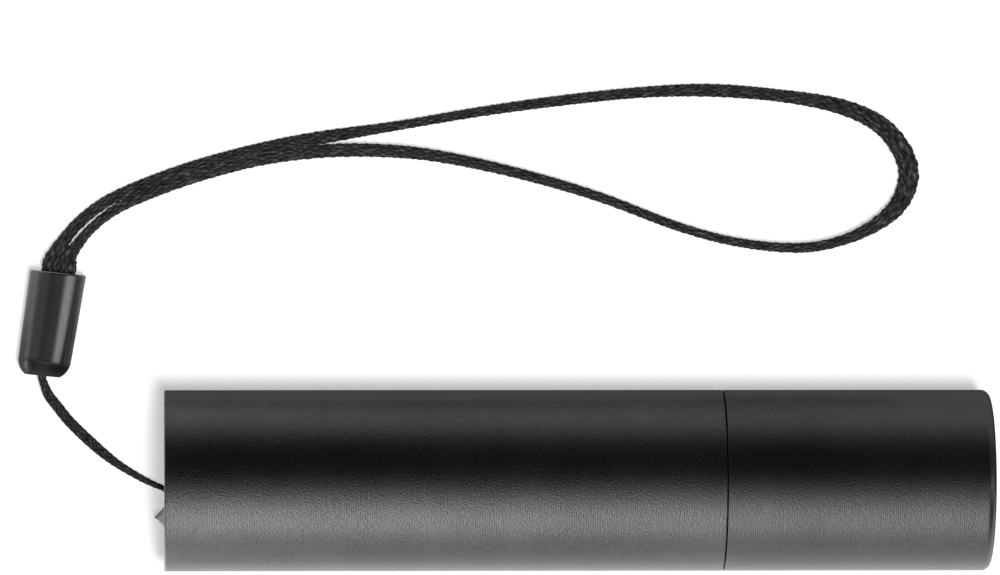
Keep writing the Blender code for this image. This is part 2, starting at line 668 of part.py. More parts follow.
def make_neck(materials, frame):
    """Tube screwed into the body, on which the head slides, with its rings."""
    seal_floor = BODY_SEAL_FLOOR_RADIUS
    seal_x = BODY_LENGTH - BODY_SEAL_SETBACK
    seal_start = seal_x - BODY_SEAL_GROOVE_WIDTH / 2
    seal_end = seal_x + BODY_SEAL_GROOVE_WIDTH / 2
    outside = [
        (NECK_START, NECK_RADIUS), (seal_start, NECK_RADIUS), (seal_start, seal_floor),
        (seal_end, seal_floor), (seal_end, NECK_RADIUS),
        (NECK_FLANGE_START, NECK_RADIUS), (NECK_FLANGE_START, FLANGE_RADIUS),
    ]
    for start in neck_grooves():
        outside += [(start, FLANGE_RADIUS), (start, NECK_GROOVE_RADIUS)]
        outside += [(start + NECK_GROOVE_WIDTH, NECK_GROOVE_RADIUS)]
        outside += [(start + NECK_GROOVE_WIDTH, FLANGE_RADIUS)]
    outside.append((NECK_END, FLANGE_RADIUS))
    shoulder = NECK_BORE_RADIUS - NECK_SHOULDER_HEIGHT
    inside = [
        (NECK_END, NECK_BORE_RADIUS), (SHOULDER_END, NECK_BORE_RADIUS), (SHOULDER_END, shoulder),
        (SHOULDER_START, shoulder), (SHOULDER_START, NECK_BORE_RADIUS), (NECK_START, NECK_BORE_RADIUS),
    ]
    outline = [(x - NECK_START, radius) for x, radius in outside + inside]
    neck = turned("neck_tube", outline, materials["dark_metal"], frame, NECK_START, OUTER_SEGMENTS)
    width = PORT_WIDTH + 2 * FIT
    height = PORT_HEIGHT + 2 * FIT
    slot = rounded_slot_mesh("port_slot", width, height, NECK_RADIUS, PORT_ROUND + FIT)
    top = (PORT_CENTRE, 0.0, NECK_RADIUS + BOOLEAN_MARGIN)
    combine(neck, add_object("port_slot", slot, materials["dark_metal"], frame, top), "DIFFERENCE")
    ring_middle = NECK_GROOVE_RADIUS + SEAT + NECK_RING_SECTION / 2
    for name, start in zip(("neck_o_ring_rear", "neck_o_ring_front"), neck_grooves()):
        ring = seal_outline(NECK_RING_SECTION, ring_middle)
        turned(name, ring, materials["rubber"], frame, start + NECK_GROOVE_WIDTH / 2, RING_SEGMENTS)
    seal = seal_outline(BODY_SEAL_SECTION, seal_floor + SEAT + BODY_SEAL_SECTION / 2)
    turned("body_seal_ring", seal, materials["rubber"], frame, seal_x, RING_SEGMENTS)


def make_boards(materials, frame):
    """Charge board with its port and light, spacer, driver board with its parts."""
    disc = disc_outline(BOARD_THICKNESS, NECK_FILL_RADIUS)
    turned("charge_board", disc, materials["board"], frame, CHARGE_BOARD_START)
    turned("driver_board", disc, materials["board"], frame, DRIVER_BOARD_START)
    ring = ring_outline(BOARD_RING_LENGTH, NECK_FILL_RADIUS - BOARD_RING_WALL, NECK_FILL_RADIUS)
    ring_x = CHARGE_BOARD_START - SEAT - BOARD_RING_LENGTH
    turned("board_retaining_ring", ring, materials["dark_metal"], frame, ring_x)
    spacer_outline = ring_outline(BOARD_GAP - 2 * SEAT, SPACER_INNER_RADIUS, NECK_FILL_RADIUS)
    spacer = turned("board_spacer", spacer_outline, materials["plastic"], frame, CHARGE_BOARD_END + SEAT)
    notch_size = (2 * (PORT_HEIGHT + FIT), PORT_WIDTH + 2 * FIT, NECK_FILL_RADIUS)
    notch_centre = (PORT_START, 0.0, NECK_FILL_RADIUS)
    notch = add_box("port_notch", notch_size, materials["plastic"], frame, notch_centre)
    combine(spacer, notch, "DIFFERENCE")
    indicator_centre = (PORT_START + INDICATOR_SIZE[0] / 2, INDICATOR_BESIDE_AXIS, 0.0)
    add_box("charge_indicator_led", INDICATOR_SIZE, materials["emitter"], frame, indicator_centre)
    driver_face = DRIVER_BOARD_START - SEAT
    coil = disc_outline(INDUCTOR_HEIGHT, INDUCTOR_DIAMETER / 2)
    inductor = turned_mesh("driver_inductor", coil, SMALL_SEGMENTS)
    place = (driver_face - INDUCTOR_HEIGHT, -PARTS_OFFSET, -PARTS_OFFSET)
    add_object("driver_inductor", inductor, materials["chip"], frame, place)
    small_parts = (
        ("driver_controller_chip", CHIP_SIZE, PARTS_OFFSET, -PARTS_OFFSET),
        ("driver_capacitor", CAPACITOR_SIZE, PARTS_OFFSET, 0.0),
    )
    for name, size, y, z in small_parts:
        add_box(name, size, materials["chip"], frame, (driver_face - size[0] / 2, y, z))


def make_port(materials, frame):
    """The charging port's shell and tongue, mouth up, just inside the neck's surface."""
    mouth_z = PORT_MOUTH_HEIGHT
    shell_mesh = rounded_slot_mesh("usb_c_shell", PORT_WIDTH, PORT_HEIGHT, PORT_DEPTH, PORT_ROUND)
    shell = add_object("usb_c_shell", shell_mesh, materials["nickel"], frame, (PORT_CENTRE, 0.0, mouth_z))
    width = PORT_WIDTH - 2 * PORT_WALL
    height = PORT_HEIGHT - 2 * PORT_WALL
    depth = PORT_DEPTH - PORT_FLOOR + BOOLEAN_MARGIN
    room_mesh = rounded_slot_mesh("port_room", width, height, depth, PORT_ROUND - PORT_WALL)
    room_top = (PORT_CENTRE, 0.0, mouth_z + BOOLEAN_MARGIN)
    combine(shell, add_object("port_room", room_mesh, materials["nickel"], frame, room_top), "DIFFERENCE")
    tongue_length = PORT_DEPTH - PORT_FLOOR - SEAT - PORT_TONGUE_SETBACK
    size = (PORT_TONGUE_THICKNESS, PORT_TONGUE_WIDTH, tongue_length)
    centre = (PORT_CENTRE, 0.0, mouth_z - PORT_TONGUE_SETBACK - tongue_length / 2)
    add_box("usb_c_tongue", size, materials["plastic"], frame, centre)


def wire_points(side):
    """A lead from the driver board through the pill, bent over towards the LED board."""
    start = DRIVER_BOARD_END + FIT
    top = PILL_END + FIT + WIRE_DIAMETER / 2
    inner = LED_BOARD_RADIUS + FIT
    points = [Vector((start, side * WIRE_BESIDE_AXIS, 0.0))]
    bend = (top - WIRE_BEND, WIRE_BESIDE_AXIS - WIRE_BEND)
    for x, y in quarter(bend, WIRE_BEND, 90.0):
        points.append(Vector((x, side * y, 0.0)))
    points.append(Vector((top, side * inner, 0.0)))
    return points


def make_light_source(materials, frame):
    """Heat sink pill, LED board, emitter, dome and the two leads."""
    pill_outline = [
        (PILL_LENGTH - PILL_FLOOR, 0.0), (PILL_LENGTH - PILL_FLOOR, PILL_CUP_RADIUS), (0.0, PILL_CUP_RADIUS),
        (0.0, NECK_FILL_RADIUS), (PILL_LENGTH, NECK_FILL_RADIUS), (PILL_LENGTH, 0.0),
    ]
    pill = turned("led_pill", pill_outline, materials["brass"], frame, PILL_START)
    board = disc_outline(BOARD_THICKNESS, LED_BOARD_RADIUS)
    turned("led_board", board, materials["white_board"], frame, PILL_END + SEAT, SMALL_SEGMENTS)
    emitter_start = LED_BOARD_END + SEAT
    size = (EMITTER_HEIGHT, EMITTER_WIDTH, EMITTER_WIDTH)
    centre = (emitter_start + EMITTER_HEIGHT / 2, 0.0, 0.0)
    add_box("led_emitter", size, materials["emitter"], frame, centre)
    dome_radius = DOME_DIAMETER / 2
    dome = [(0.0, 0.0)] + quarter((0.0, 0.0), dome_radius, 90.0)
    dome_x = emitter_start + EMITTER_HEIGHT + SEAT
    turned("led_dome", dome, materials["lens"], frame, dome_x, SMALL_SEGMENTS)
    for name, side in (("led_wire_positive", 1), ("led_wire_negative", -1)):
        hole_centre = (PILL_END, side * WIRE_BESIDE_AXIS, 0.0)
        depth = 2 * PILL_FLOOR + 2 * BOOLEAN_MARGIN
        radius = WIRE_DIAMETER / 2 + FIT
        drill(pill, name + "_hole", radius, hole_centre, depth, "X", materials["brass"], frame)
        curve = poly_curve(name, wire_points(side), WIRE_DIAMETER, 1)
        add_object(name, curve, materials["wire"], frame, (0.0, 0.0, 0.0))


def make_head(materials, frame):
    """The sliding head; the frame stands at the head's rear end."""
    groove_start = SNAP_RING_SETBACK - FIT / 2
    groove_end = SNAP_RING_SETBACK + SNAP_RING_THICKNESS + FIT / 2
    lens_x = LENS_START - HEAD_START
    rib_radius = LENS_RADIUS - LENS_SEAT_WIDTH
    rounding = quarter(
        (HEAD_LENGTH - FRONT_EDGE_ROUND, OUTER_RADIUS - FRONT_EDGE_ROUND), FRONT_EDGE_ROUND, 90.0,
    )
    outline = [(0.0, HEAD_BORE_RADIUS), (0.0, OUTER_RADIUS - SEAM_EDGE_BREAK)]
    outline += [(SEAM_EDGE_BREAK, OUTER_RADIUS)] + rounding
    outline += [
        (HEAD_LENGTH, LENS_BORE_RADIUS), (lens_x - SEAT, LENS_BORE_RADIUS), (lens_x - SEAT, rib_radius),
        (lens_x - SEAT - RIB_LENGTH, rib_radius), (lens_x - SEAT - RIB_LENGTH, HEAD_BORE_RADIUS),
        (groove_end, HEAD_BORE_RADIUS), (groove_end, SNAP_GROOVE_RADIUS),
        (groove_start, SNAP_GROOVE_RADIUS), (groove_start, HEAD_BORE_RADIUS),
    ]
    turned("head_sleeve", outline, materials["black"], frame, 0.0, OUTER_SEGMENTS)
    section = ring_outline(SNAP_RING_THICKNESS, SNAP_RING_INNER_RADIUS, SNAP_RING_OUTER_RADIUS)
    nickel = materials["nickel"]
    ring = turned("head_snap_ring", section, nickel, frame, SNAP_RING_SETBACK, OUTER_SEGMENTS)
    height = SNAP_RING_OUTER_RADIUS - SNAP_RING_INNER_RADIUS
    slot_size = (2 * SNAP_RING_THICKNESS, SNAP_RING_SLOT, 2 * height)
    middle = (SNAP_RING_OUTER_RADIUS + SNAP_RING_INNER_RADIUS) / 2
    slot_centre = (SNAP_RING_SETBACK + SNAP_RING_THICKNESS / 2, 0.0, -middle)
    combine(ring, add_box("snap_ring_slot", slot_size, nickel, frame, slot_centre), "DIFFERENCE")


def make_lens(materials, frame):
    """Plano-convex focus lens, the seal in front of its edge, and the bezel that holds both."""
    dome_radius = LENS_DOME_RADIUS
    sphere = (dome_radius ** 2 + LENS_DOME_HEIGHT ** 2) / (2 * LENS_DOME_HEIGHT)
    middle = LENS_EDGE + LENS_DOME_HEIGHT - sphere
    reach = math.asin(dome_radius / sphere)
    dome = []
    for step in range(9):
        angle = reach * (1 - step / 8)
        dome.append((middle + sphere * math.cos(angle), sphere * math.sin(angle)))
    dome[-1] = (LENS_EDGE + LENS_DOME_HEIGHT, 0.0)
    outline = [(0.0, 0.0), (0.0, LENS_RADIUS), (LENS_EDGE, LENS_RADIUS)] + dome
    turned("focus_lens", outline, materials["lens"], frame, LENS_START - HEAD_START)
    bezel_inner = LENS_RADIUS - BEZEL_WALL
    seal = seal_outline(LENS_SEAL_SECTION, (bezel_inner + LENS_RADIUS) / 2)
    seal_x = LENS_FLANGE_END + SEAT + LENS_SEAL_SECTION / 2 - HEAD_START
    turned("lens_seal_ring", seal, materials["rubber"], frame, seal_x)
    bezel_length = TOTAL_LENGTH - BEZEL_SETBACK - BEZEL_START
    bezel = ring_outline(bezel_length, bezel_inner, LENS_RADIUS)
    bezel[3] = (bezel_length, bezel_inner + MOUTH_CHAMFER)
    bezel.append((bezel_length - MOUTH_CHAMFER, bezel_inner))
    turned("front_bezel", bezel, materials["black"], frame, BEZEL_START - HEAD_START)


def ferrule_point(along, across, height):
    """World place at a reach along the ferrule from its base, and across it to its left."""
    direction = Vector((math.sin(FERRULE_TILT), math.cos(FERRULE_TILT), 0.0))
    left = Vector((-direction.y, direction.x, 0.0))
    base = Vector((FERRULE_BASE_X, FERRULE_BASE_Y, height))
    return base + along * direction + across * left


def make_ferrule(materials):
    """Bullet shaped cord end with the plug in which strap and string are fixed."""
    axis_z = FERRULE_DIAMETER / 2
    turn = math.pi / 2 - FERRULE_TILT
    shoulder = FERRULE_SHOULDER_DIAMETER / 2
    base = FERRULE_BASE_DIAMETER / 2
    hole = FERRULE_HOLE_DIAMETER / 2
    bore = FERRULE_BORE_DIAMETER / 2
    outline = [(0.0, hole)]
    for step in range(5):
        angle = math.radians(90.0 * step / 4)
        x = FERRULE_ROUND_LENGTH * (1 - math.cos(angle))
        outline.append((x, base + (shoulder - base) * math.sin(angle)))
    outline += [
        (FERRULE_LENGTH - FERRULE_LIP, FERRULE_DIAMETER / 2),
        (FERRULE_LENGTH, FERRULE_DIAMETER / 2 - FERRULE_LIP),
        (FERRULE_LENGTH, bore), (FERRULE_FLOOR, bore), (FERRULE_FLOOR, hole),
    ]
    core = disc_outline(CORE_LENGTH, bore - FIT)
    pieces = (
        ("lanyard_ferrule", outline, "gunmetal", 0.0),
        ("ferrule_core", core, "plastic", FERRULE_FLOOR + FIT),
    )
    for name, shape, material, along in pieces:
        mesh = turned_mesh(name, shape, INNER_SEGMENTS)
        piece = add_object(name, mesh, materials[material], None, ferrule_point(along, 0.0, axis_z))
        piece.rotation_euler = (0.0, 0.0, turn)


def strap_points():
    """The strap's centre line, both ends inside the ferrule's mouth."""
    height = FERRULE_DIAMETER / 2
    inner = FERRULE_FLOOR + CORE_LENGTH + 2 * FIT
    start = [ferrule_point(inner, STRAP_SPREAD, height), ferrule_point(FERRULE_LENGTH, STRAP_SPREAD, height)]
    end = [ferrule_point(FERRULE_LENGTH, -STRAP_SPREAD, height), ferrule_point(inner, -STRAP_SPREAD, height)]
    middle = [Vector(place) * MM for place in STRAP_ROUTE]
    return smooth_points(start + middle + end, STRAP_STEP)


def string_pair(place, heading, pitch, turn):
    """The two strands' places beside a point, turned about the heading."""
    side = Vector((-heading.y, heading.x, 0.0)).normalized()
    offset = (side * math.cos(turn) - Vector((0.0, 0.0, 1.0)) * math.sin(turn)) * pitch / 2
    return place + offset, place - offset


def string_points():
    """The string's centre line: from the ferrule, up through the lug's eye and back."""
    height = FERRULE_DIAMETER / 2
    entry = [ferrule_point(FERRULE_FLOOR, 0.0, height), ferrule_point(0.0, 0.0, height)]
    centres = entry + [Vector(row[:3]) * MM for row in STRING_ROUTE]
    turns = [math.radians(STRING_ROUTE[0][3])] * 2 + [math.radians(row[3]) for row in STRING_ROUTE]
    out = []
    back = []
    for index, (place, turn) in enumerate(zip(centres, turns)):
        before = centres[max(index - 1, 0)]
        after = centres[min(index + 1, len(centres) - 1)]
        lower, upper = string_pair(place, after - before, STRING_PAIR_PITCH, turn)
        out.append(lower)
        back.append(upper)
    eye = Vector((TAIL_X + EYE_REACH, -LUG_BESIDE_AXIS, AXIS_Z - LUG_BELOW_AXIS))
    face = LUG_THICKNESS / 2 + STRING_DIAMETER / 2
    loop = []
    for side in (-1, 1):
        near = eye + Vector((0.25 * MM, 1.6 * MM, side * (face + 0.3 * MM)))
        turn = eye + Vector((0.05 * MM, 0.35 * MM, side * (face + 0.15 * MM)))
        mouth = eye + Vector((0.0, 0.0, side * 0.5 * LUG_THICKNESS))
        loop.append((near, turn, mouth))
    lower, upper = loop
    return smooth_points(out + list(lower) + [upper[2], upper[1], upper[0]] + back[::-1], STRING_STEP)


def make_cords(materials):
    """The wrist strap and the doubled string as plain tubes on their centre lines."""
    cords = (
        ("wrist_strap", strap_points(), STRAP_TUBE_DIAMETER),
        ("lanyard_cord", string_points(), STRING_DIAMETER),
    )
    for name, points, diameter in cords:
        curve = poly_curve(name, points, diameter, 2)
        add_object(name, curve, materials["strap"], None, (0.0, 0.0, 0.0))
        length = sum((end - start).length for start, end in zip(points, points[1:]))
        gap = least_self_gap(points, diameter)
        print(name, "points", len(points), "length", round(length, 5), "gap", round(gap, 6))


def make_materials():
    """The colours and finishes of all pieces."""
    looks = {
        "black": ((0.045, 0.045, 0.048), 0.42, 0.9),
        "dark_metal": ((0.06, 0.06, 0.065), 0.35, 0.9),
        "gunmetal": ((0.12, 0.12, 0.125), 0.35, 1.0),
        "rubber": ((0.02, 0.02, 0.02), 0.75, 0.0),
        "plastic": ((0.03, 0.03, 0.032), 0.5, 0.0),
        "board": ((0.02, 0.12, 0.05), 0.45, 0.0),
        "white_board": ((0.75, 0.75, 0.72), 0.4, 0.0),
        "brass": ((0.65, 0.48, 0.18), 0.35, 1.0),
        "nickel": ((0.62, 0.61, 0.58), 0.28, 1.0),
        "cell": ((0.05, 0.2, 0.45), 0.4, 0.0),
        "paper": ((0.75, 0.74, 0.7), 0.8, 0.0),
        "chip": ((0.03, 0.03, 0.035), 0.45, 0.0),
        "emitter": ((0.85, 0.7, 0.15), 0.3, 0.0),
        "lens": ((0.85, 0.9, 0.92), 0.05, 0.0),
        "wire": ((0.35, 0.03, 0.03), 0.5, 0.0),
        "strap": ((0.02, 0.02, 0.022), 0.85, 0.0),
    }
    return {name: make_material(name, *look) for name, look in looks.items()}


def main():
    clear_scene()
    materials = make_materials()
    barrel = make_frame("barrel_frame", (TAIL_X, 0.0, AXIS_Z))
    head = make_frame("head_frame", (HEAD_START, 0.0, 0.0), barrel)
    button = make_frame("button_frame", (BUTTON_SETBACK, 0.0, 0.0), barrel)
    make_body_tube(materials["black"], barrel)
    make_tail_cover(materials, barrel)
    make_button(materials, button)
    make_switch(materials, barrel)
    make_cell(materials, barrel)
    make_neck(materials, barrel)
    make_boards(materials, barrel)
    make_port(materials, barrel)
    make_light_source(materials, barrel)
    make_head(materials, head)
    make_lens(materials, head)
    make_ferrule(materials)
    make_cords(materials)
    bpy.context.view_layer.update()


main()
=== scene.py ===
import json
import math

import bmesh
import bpy
import numpy as np
from mathutils import Matrix, Vector


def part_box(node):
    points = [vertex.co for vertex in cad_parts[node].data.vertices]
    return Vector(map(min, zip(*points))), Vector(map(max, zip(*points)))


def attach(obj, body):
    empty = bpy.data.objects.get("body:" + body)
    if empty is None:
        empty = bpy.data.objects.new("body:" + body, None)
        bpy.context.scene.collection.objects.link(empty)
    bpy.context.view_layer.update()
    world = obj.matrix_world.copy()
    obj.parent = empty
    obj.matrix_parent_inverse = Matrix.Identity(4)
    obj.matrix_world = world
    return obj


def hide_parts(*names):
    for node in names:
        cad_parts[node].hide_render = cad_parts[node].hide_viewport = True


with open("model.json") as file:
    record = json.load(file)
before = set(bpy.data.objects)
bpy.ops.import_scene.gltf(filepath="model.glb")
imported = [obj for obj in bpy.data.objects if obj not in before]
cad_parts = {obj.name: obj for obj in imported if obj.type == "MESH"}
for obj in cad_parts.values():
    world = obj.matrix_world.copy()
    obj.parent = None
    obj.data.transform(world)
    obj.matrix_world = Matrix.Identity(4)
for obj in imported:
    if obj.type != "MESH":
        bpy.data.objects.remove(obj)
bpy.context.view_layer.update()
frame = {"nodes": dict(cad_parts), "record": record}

MM = 0.001

# Places and radii read from the frame, where the barrel's flat facets make its box a little
# smaller than its full width
BODY_LOW, BODY_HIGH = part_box("body_tube")
HEAD_LOW, HEAD_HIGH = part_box("head_sleeve")
COVER_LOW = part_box("tail_cover")[0]
NECK_LOW, NECK_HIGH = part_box("neck_tube")
TAIL_X = BODY_LOW.x
SEAM_X = BODY_HIGH.x
FRONT_X = HEAD_HIGH.x
BARREL_FACETS = 48
BARREL_RADIUS = (BODY_HIGH.z - BODY_LOW.z) / 2 / math.cos(math.pi / BARREL_FACETS)
AXIS_Z = (BODY_HIGH.z + BODY_LOW.z) / 2
FLOOR_Z = AXIS_Z - BARREL_RADIUS

# Barrel sizes: the play between pieces, walls, rounded and broken edges, and bores. An outline's
# line counts as long past LONG_LINE, and an extra point lies at HOLD from each of its ends.
FIT = 0.3 * MM
TAIL_WALL = 1.4 * MM
HEAD_WALL = 1.1 * MM
TAIL_ROUND = 0.25 * MM
FRONT_ROUND = 1.1 * MM
SEAM_BREAK = 0.05 * MM
SEAM_SHIFT = 0.14 * MM
FINE_BREAK = 0.12 * MM
HOLD = 0.04 * MM
LONG_LINE = 0.6 * MM
CELL_BORE_RADIUS = 10.0 * MM
TAIL_BORE_RADIUS = BARREL_RADIUS - TAIL_WALL
NECK_RADIUS = CELL_BORE_RADIUS - FIT
LENS_BORE_RADIUS = 10.0 * MM

# Lanyard sizes: the strap and how far its legs stand from the ferrule's middle, the string, the
# ferrule with its place, turn and skew, and the eye of the lug
STRAP_WIDTH = 3.05 * MM
STRAP_THICKNESS = 1.25 * MM
STRAP_SPREAD = 1.12 * MM
STRING_DIAMETER = 0.78 * MM
STRING_PAIR_PITCH = 0.7 * MM
FERRULE_RADIUS = 3.75 * MM
FERRULE_LENGTH = 13.9 * MM
FERRULE_FLOOR = 3.0 * MM
FERRULE_CORE = 2.8 * MM
FERRULE_BASE = Vector((-70.35, 13.84, 0.0)) * MM
FERRULE_TILT = math.radians(8.8)
FERRULE_SKEW = 0.05
FERRULE_SEGMENTS = 128
LUG_EYE = Vector((TAIL_X / MM + 0.75, -5.0, AXIS_Z / MM - 6.2)) * MM
LUG_THICKNESS = 2.0 * MM

# Strap route from the ferrule round the loop and back: x, y and height in millimetres, as
# in the frame, and the lean of the strap's width from upright in degrees
STRAP_ROUTE = (
    (-68.8, 29.6, 3.2, 46),
    (-67.4, 32.0, 2.1, 24),
    (-65.1, 34.6, 1.5, 20),
    (-61.5, 37.25, 1.5, 18),
    (-56.0, 39.7, 1.5, 18),
    (-49.3, 42.0, 1.5, 20),
    (-41.3, 44.1, 1.5, 21),
    (-33.3, 45.6, 1.45, 26),
    (-22.5, 47.3, 1.5, 8),
    (-11.9, 49.1, 1.5, 10),
    (-1.1, 50.6, 1.5, 14),
    (9.6, 51.7, 1.5, 16),
    (18.9, 52.0, 1.45, 26),
    (28.3, 51.3, 1.45, 24),
    (36.3, 49.9, 1.35, 38),
    (41.7, 47.5, 1.15, 52),
    (44.7, 44.1, 0.95, 66),
    (45.7, 40.7, 0.85, 72),
    (44.6, 37.2, 1.1, 56),
    (41.8, 34.4, 1.35, 34),
    (37.0, 32.0, 1.5, 14),
    (31.0, 30.9, 1.5, 10),
    (22.9, 31.6, 1.55, 3),
    (14.8, 33.7, 1.55, 3),
    (4.1, 37.7, 1.5, 8),
    (-6.5, 40.8, 1.5, 12),
    (-17.2, 43.1, 1.5, 18),
    (-25.2, 43.9, 1.45, 24),
    (-33.3, 43.8, 1.45, 26),
    (-41.3, 42.7, 1.5, 22),
    (-49.3, 40.6, 1.5, 20),
    (-56.0, 38.2, 1.5, 18),
    (-60.6, 36.0, 1.5, 12),
    (-63.9, 33.4, 1.5, 8),
    (-66.1, 30.7, 2.1, 20),
    (-66.8, 29.3, 3.0, 46),
)

# Doubled string from the ferrule to the tail rim: the pair's middle in millimetres, as in
# the frame, and the turn of the pair about its run in degrees
STRING_ROUTE = (
    (-70.2, 12.95, 3.4, 60.0),
    (-69.5, 11.2, 2.6, 30.0),
    (-68.25, 9.55, 1.5, 10.0),
    (-67.05, 8.0, 0.9, 0.0),
    (-65.55, 6.45, 0.7, 0.0),
    (-63.9, 4.9, 0.7, 0.0),
    (-62.05, 3.3, 0.8, 35.0),
    (-59.95, 1.75, 1.15, 62.0),
    (-57.15, 0.1, 1.9, 78.0),
    (-55.45, -0.7, 2.6, 85.0),
    (-53.85, -1.5, 3.3, 90.0),
)

# The string's way into the lug's eye: x and y from the eye, and the clearance from the lug's
# face, in millimetres
EYE_ROUTE = ((0.25, 1.6, 0.3), (0.05, 0.35, 0.15))

# A plait: how flat the pillows' tops are, how low their ends lie, the slow sway of its two
# families of strands, as waves of (reach, pace, start), and how square its oval section is
PILLOW_POWER = 0.6
PILLOW_END = 0.35
PLAIT_SWAYS = (((0.16, 0.83, 0.0), (0.11, 2.17, 1.3)), ((0.14, 0.61, 2.0), (0.12, 1.73, 0.4)))
OVAL_POWER = 0.75

# Where the ferrule turns from its dull base, rougher and darker by painted shade, to polish: along it
# from its base, and across it to the left from its middle
POLISH_SHADE_ALONG = (1.3 * MM, 2.4 * MM)
POLISH_SHADE_ACROSS = (1.3 * MM, 2.9 * MM)

# Camera: far above the tail rim, with a long lens
CAMERA_DISTANCE = 1117.0 * MM
CAMERA_OVER = Vector((TAIL_X / MM, 25.75, 0.0)) * MM
CAMERA_AIM = Vector((-9.62, 25.59, AXIS_Z / MM)) * MM
CAMERA_LENS = 303.5
SENSOR_WIDTH = 36.0

# The floor: half its side, its own grey, and what it adds to the camera's view
FLOOR_REACH = 3.0
FLOOR_LEVEL = 0.85
FLOOR_GLOW = 0.49

# Brightness of the floor as the metal mirrors it, by the place along Y in millimetres; the low levels on
# the +Y side are painted shadow
MIRRORED_FLOOR = (
    (-300.0, 0.9), (-121.0, 0.82), (-45.0, 0.98), (-35.0, 1.05), (-25.0, 1.19), (-17.0, 1.1),
    (-12.0, 1.1), (12.0, 0.12), (18.6, 0.14), (24.0, 0.26), (31.0, 0.31), (50.0, 0.3), (101.0, 0.38),
    (300.0, 0.42),
)

# The floor's share of that brightness past the front end, except beside the barrel, and past
# the tail end, with the places where each share sets in
# The small share past the front end is painted shade
MIRRORED_AHEAD = 0.08
MIRRORED_BEHIND = 1.7
AHEAD_PLACES = (FRONT_X, FRONT_X + BARREL_RADIUS)
BESIDE_PLACES = (0.7 * BARREL_RADIUS, 1.7 * BARREL_RADIUS)
BEHIND_PLACES = (TAIL_X - 6.0 * MM, TAIL_X - 1.0 * MM)

# The room across the barrel as the metal mirrors it: by the angle from straight up towards -Y
# in degrees, the brightness and its loss per unit of slope towards +X, and the loss's limits
ROOM_ACROSS = (
    (-180.0, 0.35, 0.0), (-93.0, 0.42, 0.0), (-84.0, 0.41, 0.0), (-76.0, 0.36, 0.0), (-68.0, 0.25, 0.0),
    (-60.0, 0.12, 0.0), (-53.0, 0.055, 0.0), (-39.0, 0.018, 0.0), (-26.0, 0.022, 0.0),
    (-13.0, 0.018, 0.0), (0.0, 0.05, 0.0), (12.0, 0.25, 0.5), (20.0, 0.56, 1.5), (28.0, 1.05, 2.5),
    (38.0, 1.6, 3.5), (51.0, 2.0, 4.0), (60.0, 1.9, 4.0), (66.0, 1.7, 3.5), (75.0, 1.06, 2.0),
    (82.0, 0.8, 1.0), (100.0, 0.73, 1.0), (180.0, 0.75, 0.0),
)
ROOM_HELD = (0.3, 1.35)

# The room along the barrel: brightness by the angle from straight up towards +X in degrees
ROOM_ALONG = (
    (-180.0, 0.3), (-110.0, 0.65), (-95.0, 0.72), (-85.0, 0.45), (-75.0, 0.22), (-60.0, 0.18),
    (-40.0, 0.2), (-25.0, 0.13), (0.0, 0.02), (22.0, 0.05), (34.0, 0.5), (43.0, 1.5), (66.0, 1.5),
    (76.0, 0.9), (86.0, 0.6), (100.0, 0.5), (180.0, 0.25),
)

# The share of it that is left on the +X side, by the slope towards +Y
ROOM_FRONT = (
    (-1.0, 0.5), (-0.75, 0.15), (-0.24, 0.1), (-0.18, 1.0), (-0.08, 1.0), (-0.04, 0.08), (0.5, 0.08),
    (0.8, 0.3), (1.0, 0.6),
)

# Slopes towards X between which the room along takes over from the room across, and slopes
# towards +X between which the front's share sets in
ALONG_SLOPES = (0.3, 0.55)
FRONT_SLOPES = (0.0, 0.2)

# The room's light on cloth and floor, by height from straight down to straight up
ROOM_SOFT = ((-1.0, 0.3), (-0.76, 0.28), (-0.3, 0.16), (0.2, 0.05), (1.0, 0.04))

# Wide lamp overhead: its height, the tilts that set its place and size, and its power
LAMP_HEIGHT = 2.0
LAMP_TILT_X = math.radians(3.0)
LAMP_TILT_Y = math.radians(5.5)
LAMP_POWER = 27.0

# Fineness of round pieces and curves, the rings from one place of a cord's path to the next,
# and the angles past which an edge is sharp
FINE_SEGMENTS = 192
PART_SEGMENTS = 96
CURVE_STEP = 0.01
PATH_STEP = 6
SMOOTH_ANGLE = math.radians(30.0)
FRAME_SMOOTH_ANGLE = math.radians(40.0)
BEVEL_ANGLE = math.radians(25.0)


def add_object(name, data):
    """A linked object of a mesh, lamp or camera."""
    made = bpy.data.objects.new(name, data)
    bpy.context.scene.collection.objects.link(made)
    return made


def make_camera():
    """A far camera that looks down on the whole flashlight."""
    data = bpy.data.cameras.new("photo_camera")
    data.lens = CAMERA_LENS
    data.sensor_width = SENSOR_WIDTH
    data.clip_start = 0.01
    data.clip_end = 20.0
    camera = add_object("photo_camera", data)
    place = CAMERA_OVER + Vector((0.0, 0.0, AXIS_Z + CAMERA_DISTANCE))
    back = (place - CAMERA_AIM).normalized()
    right = Vector((0.0, 1.0, 0.0)).cross(back).normalized()
    turn = Matrix((right, back.cross(right), back)).transposed().to_4x4()
    camera.matrix_world = Matrix.Translation(place) @ turn
    bpy.context.scene.camera = camera


def smooth_rows(route, step):
    """Rows of numbers at an even step along a smooth curve through the route's rows."""
    rows = [np.array(row, float) for row in route]
    ends = [2 * rows[0] - rows[1]] + rows + [2 * rows[-1] - rows[-2]]
    fine = []
    for before, start, end, after in zip(ends, ends[1:], ends[2:], ends[3:]):
        for share in np.arange(0.0, 1.0, CURVE_STEP):
            fine.append(0.5 * (
                2 * start + (end - before) * share
                + (2 * before - 5 * start + 4 * end - after) * share ** 2
                + (3 * start - before - 3 * end + after) * share ** 3
            ))
    fine.append(rows[-1])
    fine = np.array(fine)
    strides = np.linalg.norm(np.diff(fine[:, :3], axis=0), axis=1)
    lengths = np.concatenate(([0.0], np.cumsum(strides)))
    places = np.linspace(0.0, lengths[-1], max(2, round(lengths[-1] / step)) + 1)
    return np.column_stack([np.interp(places, lengths, column) for column in fine.T]), lengths[-1]


